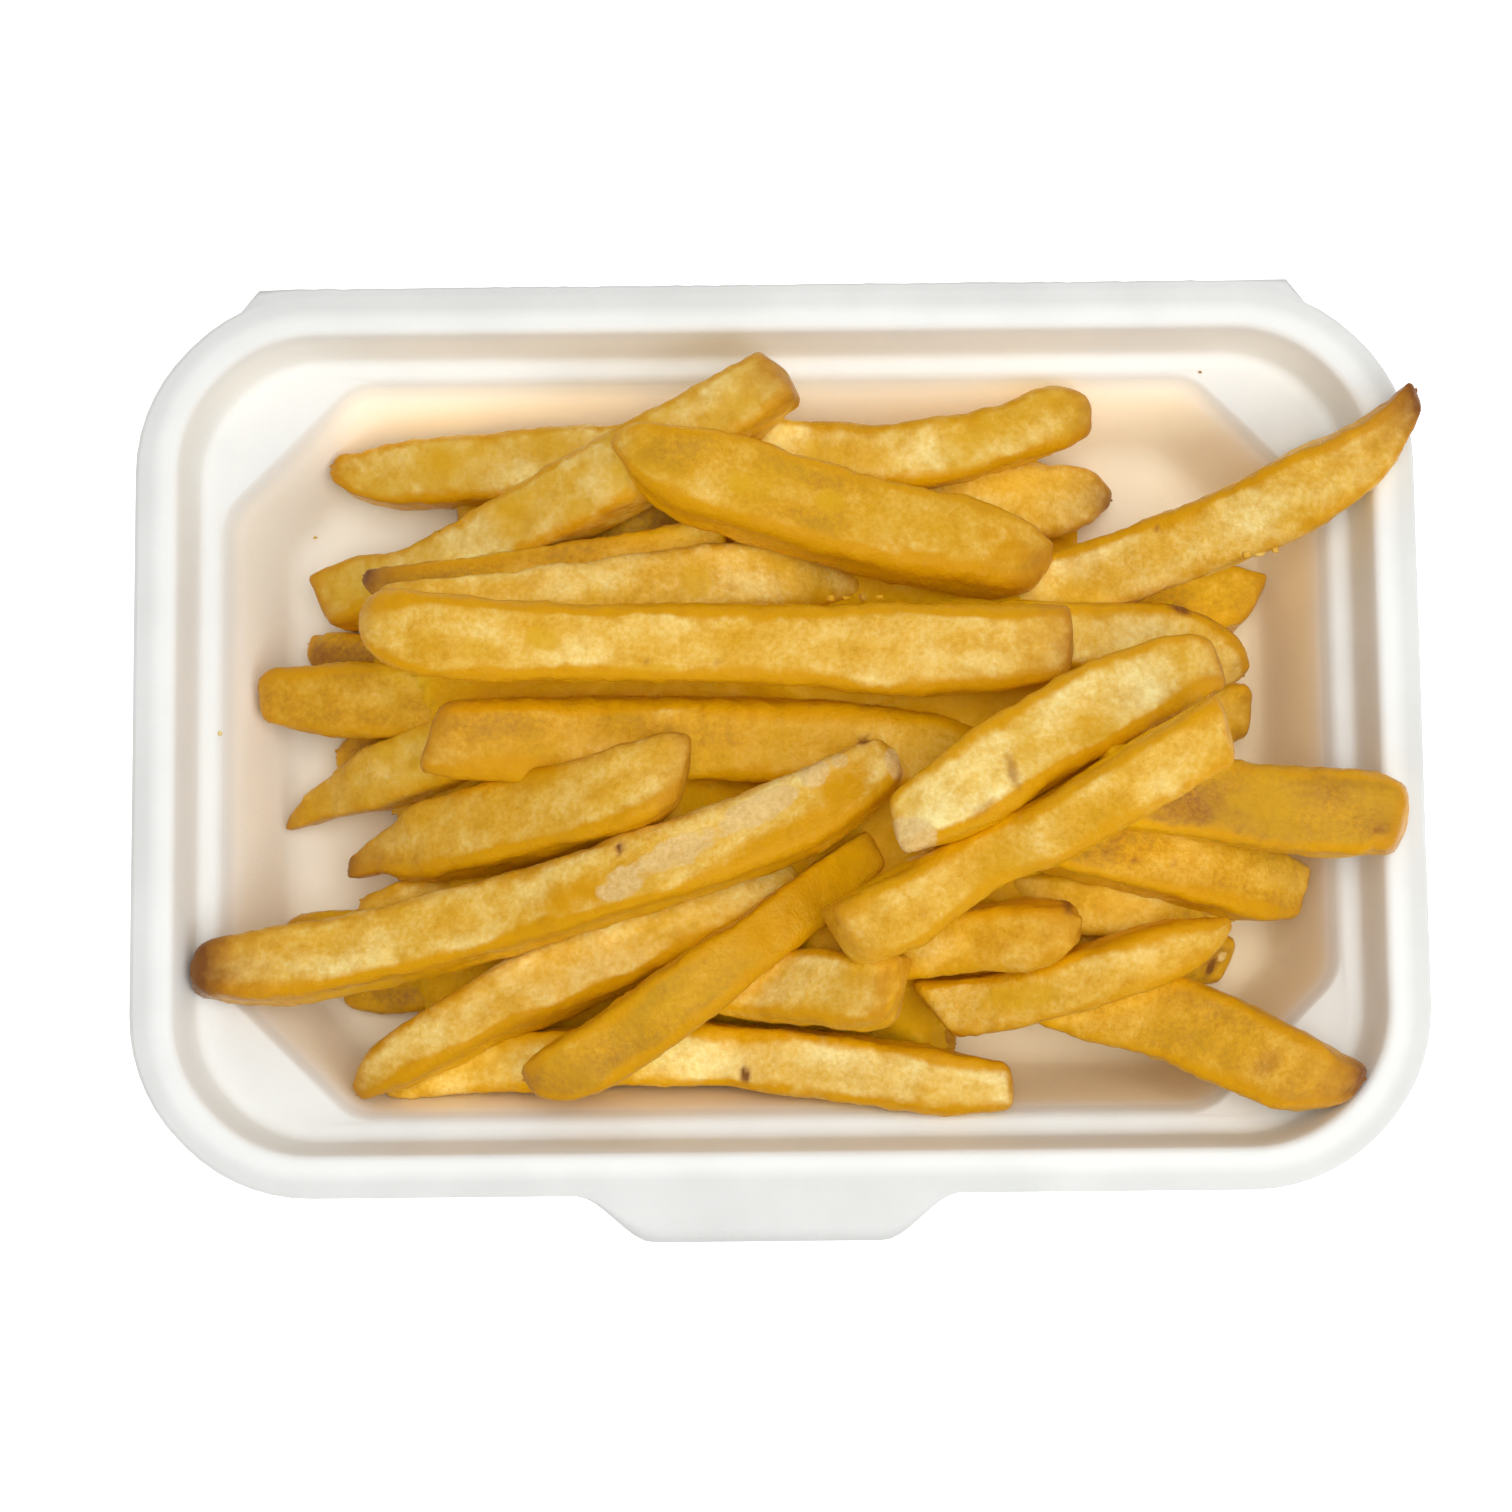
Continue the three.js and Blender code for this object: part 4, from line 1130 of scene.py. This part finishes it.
def marked_places(points):
    """How soaked, torn, scorched and golden each point is, from the marks above it."""
    values = {}
    for kind, marks in MARKS.items():
        values[kind] = np.zeros(len(points))
        for x, y, length, width, turn, strength in marks:
            angle = math.radians(turn)
            away_x = points[:, 0] - x
            away_y = points[:, 1] - y
            lengthways = (away_x * math.cos(angle) + away_y * math.sin(angle)) / length
            sideways = (away_y * math.cos(angle) - away_x * math.sin(angle)) / width
            away = np.hypot(lengthways, sideways)
            inside = 1 - smoothstep(away, 1 - BORDER[kind], 1 + BORDER[kind])
            values[kind] = np.maximum(values[kind], inside * strength)
    return values


def end_tuck(away, radius):
    """How much thinner a fry is at a distance from its end, which has a rounded edge."""
    at = np.clip(away / radius, 0, 1)
    return radius * (1 - np.sqrt(1 - (1 - at) ** 2))


def turned_section(fry, square, length, s, seed):
    """A fry's cross-sections, turned about its length and 2 wide, and how their points face."""
    section, facing = rounded_section(square, seed)
    angle = np.radians(fry.roll + TWIST * math.sin(seed * 1.7) * s / length)
    section = turned(section * np.array([1, fry.flat]), angle)
    return section / np.abs(section[:, 0]).max(), turned(facing, angle)


def along_route(laid, t, across, up):
    """Points of a straight fry bent to how it lies: t runs along it, also past its ends."""
    places, _, along, side, heights = laid
    middle = np.column_stack([np.interp(t, along, places[:, 0]), np.interp(t, along, places[:, 1])])
    height = np.interp(t, along, heights)
    over = np.minimum(t - along[0], 0) + np.maximum(t - along[-1], 0)
    sideways = np.column_stack([np.interp(t, along, side[:, 0]), np.interp(t, along, side[:, 1])])
    sideways /= np.linalg.norm(sideways, axis=1)[:, None]
    ahead = np.column_stack([sideways[:, 1], -sideways[:, 0]])
    rise = np.interp(t, along, np.gradient(heights, along))
    tilt = np.arctan(rise)
    middle += ahead * (over - np.sin(tilt) * up)[:, None] + sideways * across[:, None]
    return np.column_stack([middle, height + over * rise + np.cos(tilt) * up])


def shape_fry(fry, laid, unit, seed):
    """Turns the points of a bar, with their places along it, into a fry's, in millimetres."""
    widths, along = laid.widths, laid.along
    s = unit[:, 0]
    length = along[-1] - along[0]
    from_first, from_last = length / 2 + s, length / 2 - s
    square = unit[:, 1:] * 2
    widest = np.abs(square).max(axis=1)
    section, facing = turned_section(fry, square, length, s, seed)

    # Tapered by the route's widths and rounded at the ends
    first_round = min(END_RADIUS, END_RADIUS_SHARE * widths[0])
    last_round = min(END_RADIUS, END_RADIUS_SHARE * widths[-1])
    tuck = end_tuck(from_first, first_round) + end_tuck(from_last, last_round)
    half = np.interp(s, along, widths) / 2
    swell = 1 + SWELL * ripple(np.column_stack([s, s * 0, s * 0]), SWELL_SIZE, seed)
    across, up = (section * ((half - tuck) * swell)[:, None]).T

    # Ends that bulge and are cut askew
    bulge = 1 - widest ** 2
    shift = np.where(from_first < TINY, -END_BULGE * first_round * bulge, 0)
    shift += np.where(from_last < TINY, END_BULGE * last_round * bulge, 0)
    near_first = np.clip(1 - from_first / (CUT_REACH * widths[CUT_STATION]), 0, 1)
    near_last = np.clip(1 - from_last / (CUT_REACH * widths[-1 - CUT_STATION]), 0, 1)
    shift += across * (fry.slant[0] * near_first + fry.slant[1] * near_last)
    lean = math.sin(seed * 2.4) * near_first + math.sin(seed * 3.1) * near_last
    shift += CUT_LEAN * up * lean

    # An uneven crust
    body = np.column_stack([s, across, up])
    lumps = sum(height * ripple(body, size, seed + more) for height, size, more in LUMPS)
    lumps *= np.clip(half / 3, 0.3, 1)
    height, size, more = CUT_LUMP
    at_end = np.minimum(from_first, from_last) < 1
    shift += height * ripple(body, size, seed + more) * np.sign(s) * at_end
    across = across + facing[:, 0] * lumps * widest
    up = up + facing[:, 1] * lumps * widest
    return along_route(laid, s + shift, across, up)


def near_cells(heights, reach, pick):
    """For each cell the highest, lowest or mean height, as picked, of the cells within a reach."""
    steps = range(-reach, reach + 1)
    shifts = [(row, column) for row in steps for column in steps if math.hypot(row, column) <= reach]
    return pick([np.roll(heights, shift, axis=(0, 1)) for shift in shifts], axis=0)


def depth_in_heap(points, heap):
    """How deep points lie in the heap, from 0 to 1, by the share of the sky they don't see."""
    seen = np.zeros(len(points))
    for turn in range(SKY_TURNS):
        angle = turn * 2 * math.pi / SKY_TURNS
        horizon = np.zeros(len(points))
        for away in SKY_REACHES:
            columns = (points[:, 0] + away * math.cos(angle)) / CELL + GRID_X / 2
            rows = (points[:, 1] + away * math.sin(angle)) / CELL + GRID_Y / 2
            columns = np.clip(columns, 0, GRID_X - 1).astype(int)
            rows = np.clip(rows, 0, GRID_Y - 1).astype(int)
            horizon = np.maximum(horizon, (heap[rows, columns] - points[:, 2]) / away)
        seen += 1 / (1 + horizon ** 2) / SKY_TURNS
    return smoothstep(1 - seen, SHALLOW, DEEP)


def add_fry_mesh(name, bm, material):
    """Makes a mesh of fries, or of what belongs to them, into a piece of the part."""
    piece = smooth_object(name, bm, material)
    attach(piece, "root")
    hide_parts("fries")
    return piece


def fry_piece(name, laid_fries, first_seed, heap, material):
    """One mesh of many fries that have been laid on the heap."""
    low, high = [np.array(corner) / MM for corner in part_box("fries")]
    whole = bmesh.new()
    for seed, (fry, laid) in enumerate(laid_fries, first_seed):
        rings = ring_places(laid.along[-1] - laid.along[0])
        bar = plain_bar(len(rings))
        mesh = bpy.data.meshes.new("bar")
        bar.to_mesh(mesh)
        bar.free()
        unit = mesh_points(mesh)
        unit[:, 0] = rings[np.round((unit[:, 0] + 0.5) * (len(rings) - 1)).astype(int)]
        points = np.clip(shape_fry(fry, laid, unit, seed), low, high)
        mesh.vertices.foreach_set("co", (points * MM).ravel())
        values = fry_surface(fry, laid, unit, seed)
        marks = marked_places(points)
        values["brown"] = np.maximum(values["brown"], marks.pop("scorched"))
        values["band"] = np.maximum(values["band"], marks.pop("golden"))
        # How deep each point lies sets its painted light: deeper places are painted brighter and
        # yellower
        values["deep"] = depth_in_heap(points, heap)
        set_values(mesh, values | marks)
        whole.from_mesh(mesh)
        bpy.data.meshes.remove(mesh)
    add_fry_mesh(name, whole, material)


def core_heights(heap, empty):
    """Heights of the core, well below the heap's surface, and where it is."""
    covered = near_cells(heap > empty + 0.5, CORE_CLOSING, np.max)
    farther_in = range(CORE_RETREAT, CORE_RETREAT + CORE_SLOPE_REACH)
    insides = [near_cells(covered, CORE_CLOSING + retreat, np.min) for retreat in farther_in]
    heights = near_cells(heap, CORE_REACH, np.mean) - CORE_SINK
    least = empty + CORE_CLEARANCE + CORE_SHELL
    sloped = least + CORE_SLOPE * np.sum(insides[1:], axis=0)
    return np.maximum(np.minimum(heights, sloped), least), insides[0]


def fries_core(heap, empty, material):
    """The fries inside the heap, of which next to nothing shows: one bumpy, golden skin."""
    heights, inside = core_heights(heap, empty)
    bm = bmesh.new()
    bmesh.ops.create_grid(bm, x_segments=GRID_X - 1, y_segments=GRID_Y - 1, size=0.5)
    outside = []
    for vert in bm.verts:
        column = round((vert.co.x + 0.5) * (GRID_X - 1))
        row = round((vert.co.y + 0.5) * (GRID_Y - 1))
        x, y = cell_middle(row, column)
        bump = CORE_BUMP * noise.noise(Vector((x / 3.5, y / 2.5, 4)))
        vert.co = Vector((x, y, heights[row, column] + bump)) * MM
        if not inside[row, column]:
            outside.append(vert)
    bmesh.ops.delete(bm, geom=outside, context="VERTS")
    bmesh.ops.delete(bm, geom=[v for v in bm.verts if not v.link_faces], context="VERTS")
    made = bmesh.ops.extrude_face_region(bm, geom=bm.faces, use_keep_orig=True)["geom"]
    for vert in [g for g in made if isinstance(g, bmesh.types.BMVert)]:
        vert.co.z -= CORE_SHELL * MM
    bmesh.ops.recalc_face_normals(bm, faces=bm.faces)
    core = add_fry_mesh("fries_core", bm, material)
    # Painted light: the core is painted brighter than its depth gives, so the gaps look lit
    deep = CORE_PAINTED_LIGHT * depth_in_heap(mesh_points(core.data) / MM, heap)
    set_values(core.data, PLAIN_SKIN | {"tone": 0.45, "band": 0.5, "oil": 0.3, "deep": deep})


def crumbs(heap, material):
    """Bits of crust that have come off, where they have come to rest."""
    bm = bmesh.new()
    tones = []
    for number, (x, y, size, darkness) in enumerate(CRUMBS):
        ground = heap[cell_of(x, y)]
        made = bmesh.ops.create_icosphere(bm, subdivisions=3, radius=size / 2)["verts"]
        long = 1.2 + 0.3 * math.sin(number * 2.1)
        wide = 0.9 + 0.2 * math.sin(number * 3.7)
        stretch = Vector((long, wide, CRUMB_FLATNESS))
        for vert in made:
            lump = 1 + 0.45 * noise.noise(vert.co / size * 2.4 + Vector((number * 7.1, 0, 0)))
            middle = Vector((x, y, ground + CRUMB_LIFT * size))
            vert.co = (vert.co * stretch * lump + middle) * MM
        tones += [darkness] * len(made)
    piece = add_fry_mesh("crumbs", bm, material)
    set_values(piece.data, PLAIN_SKIN | {"tone": tones})


# ---------------------------------------------------------------- light and floor

FLOOR_HALF = 1.5

# Round lights that point at the tray: name, place and size in metres, and power in watts
LIGHTS = [
    ("window", (0.24, -0.2, 0.42), 0.3, 0.7),
    ("ceiling", (0.05, -0.01, 0.62), 0.35, 1.6),
]


def add_floor(material):
    bm = bmesh.new()
    bmesh.ops.create_grid(bm, x_segments=1, y_segments=1, size=FLOOR_HALF)
    floor = smooth_object("floor", bm, material)


def add_light(name, place, size, power):
    data = bpy.data.lights.new(name, "AREA")
    data.shape = "DISK"
    data.size = size
    data.energy = power
    light = bpy.data.objects.new(name, data)
    light.location = place
    light.rotation_euler = Vector(place).to_track_quat("Z", "Y").to_euler()
    bpy.context.collection.objects.link(light)


def add_surroundings():
    """A white room, a little darker overhead than all round."""
    world = bpy.data.worlds.new("studio")
    world.use_nodes = True
    tree = world.node_tree
    tree.nodes.clear()
    way = add(tree, "ShaderNodeTexCoord", {}).outputs["Generated"]
    height = add(tree, "ShaderNodeSeparateXYZ", {"Vector": way}).outputs["Z"]
    glow = add(tree, "ShaderNodeMapRange", {
        "Value": height, "To Min": 0.9, "To Max": 0.45,
    }).outputs[0]
    back = add(tree, "ShaderNodeBackground", {"Color": linear("#ffffff"), "Strength": glow})
    add(tree, "ShaderNodeOutputWorld", {"Surface": back.outputs[0]})
    bpy.context.scene.world = world
    bpy.context.scene.view_settings.view_transform = "Standard"


# ---------------------------------------------------------------- build

potato = fried_potato()
pulp = moulded_pulp()
pulp_tray(pulp)
empty = empty_tray_heights()
heap = empty.copy()
laid = {name: [(fry, lay_fry(fry, heap)) for fry in fries] for name, fries, _ in LAYERS}
for name, _, first_seed in LAYERS:
    fry_piece(name, laid[name], first_seed, heap, potato)
fries_core(heap, empty, potato)
crumbs(heap, potato)
add_floor(lit_acrylic())
add_surroundings()
for light in LIGHTS:
    add_light(*light)
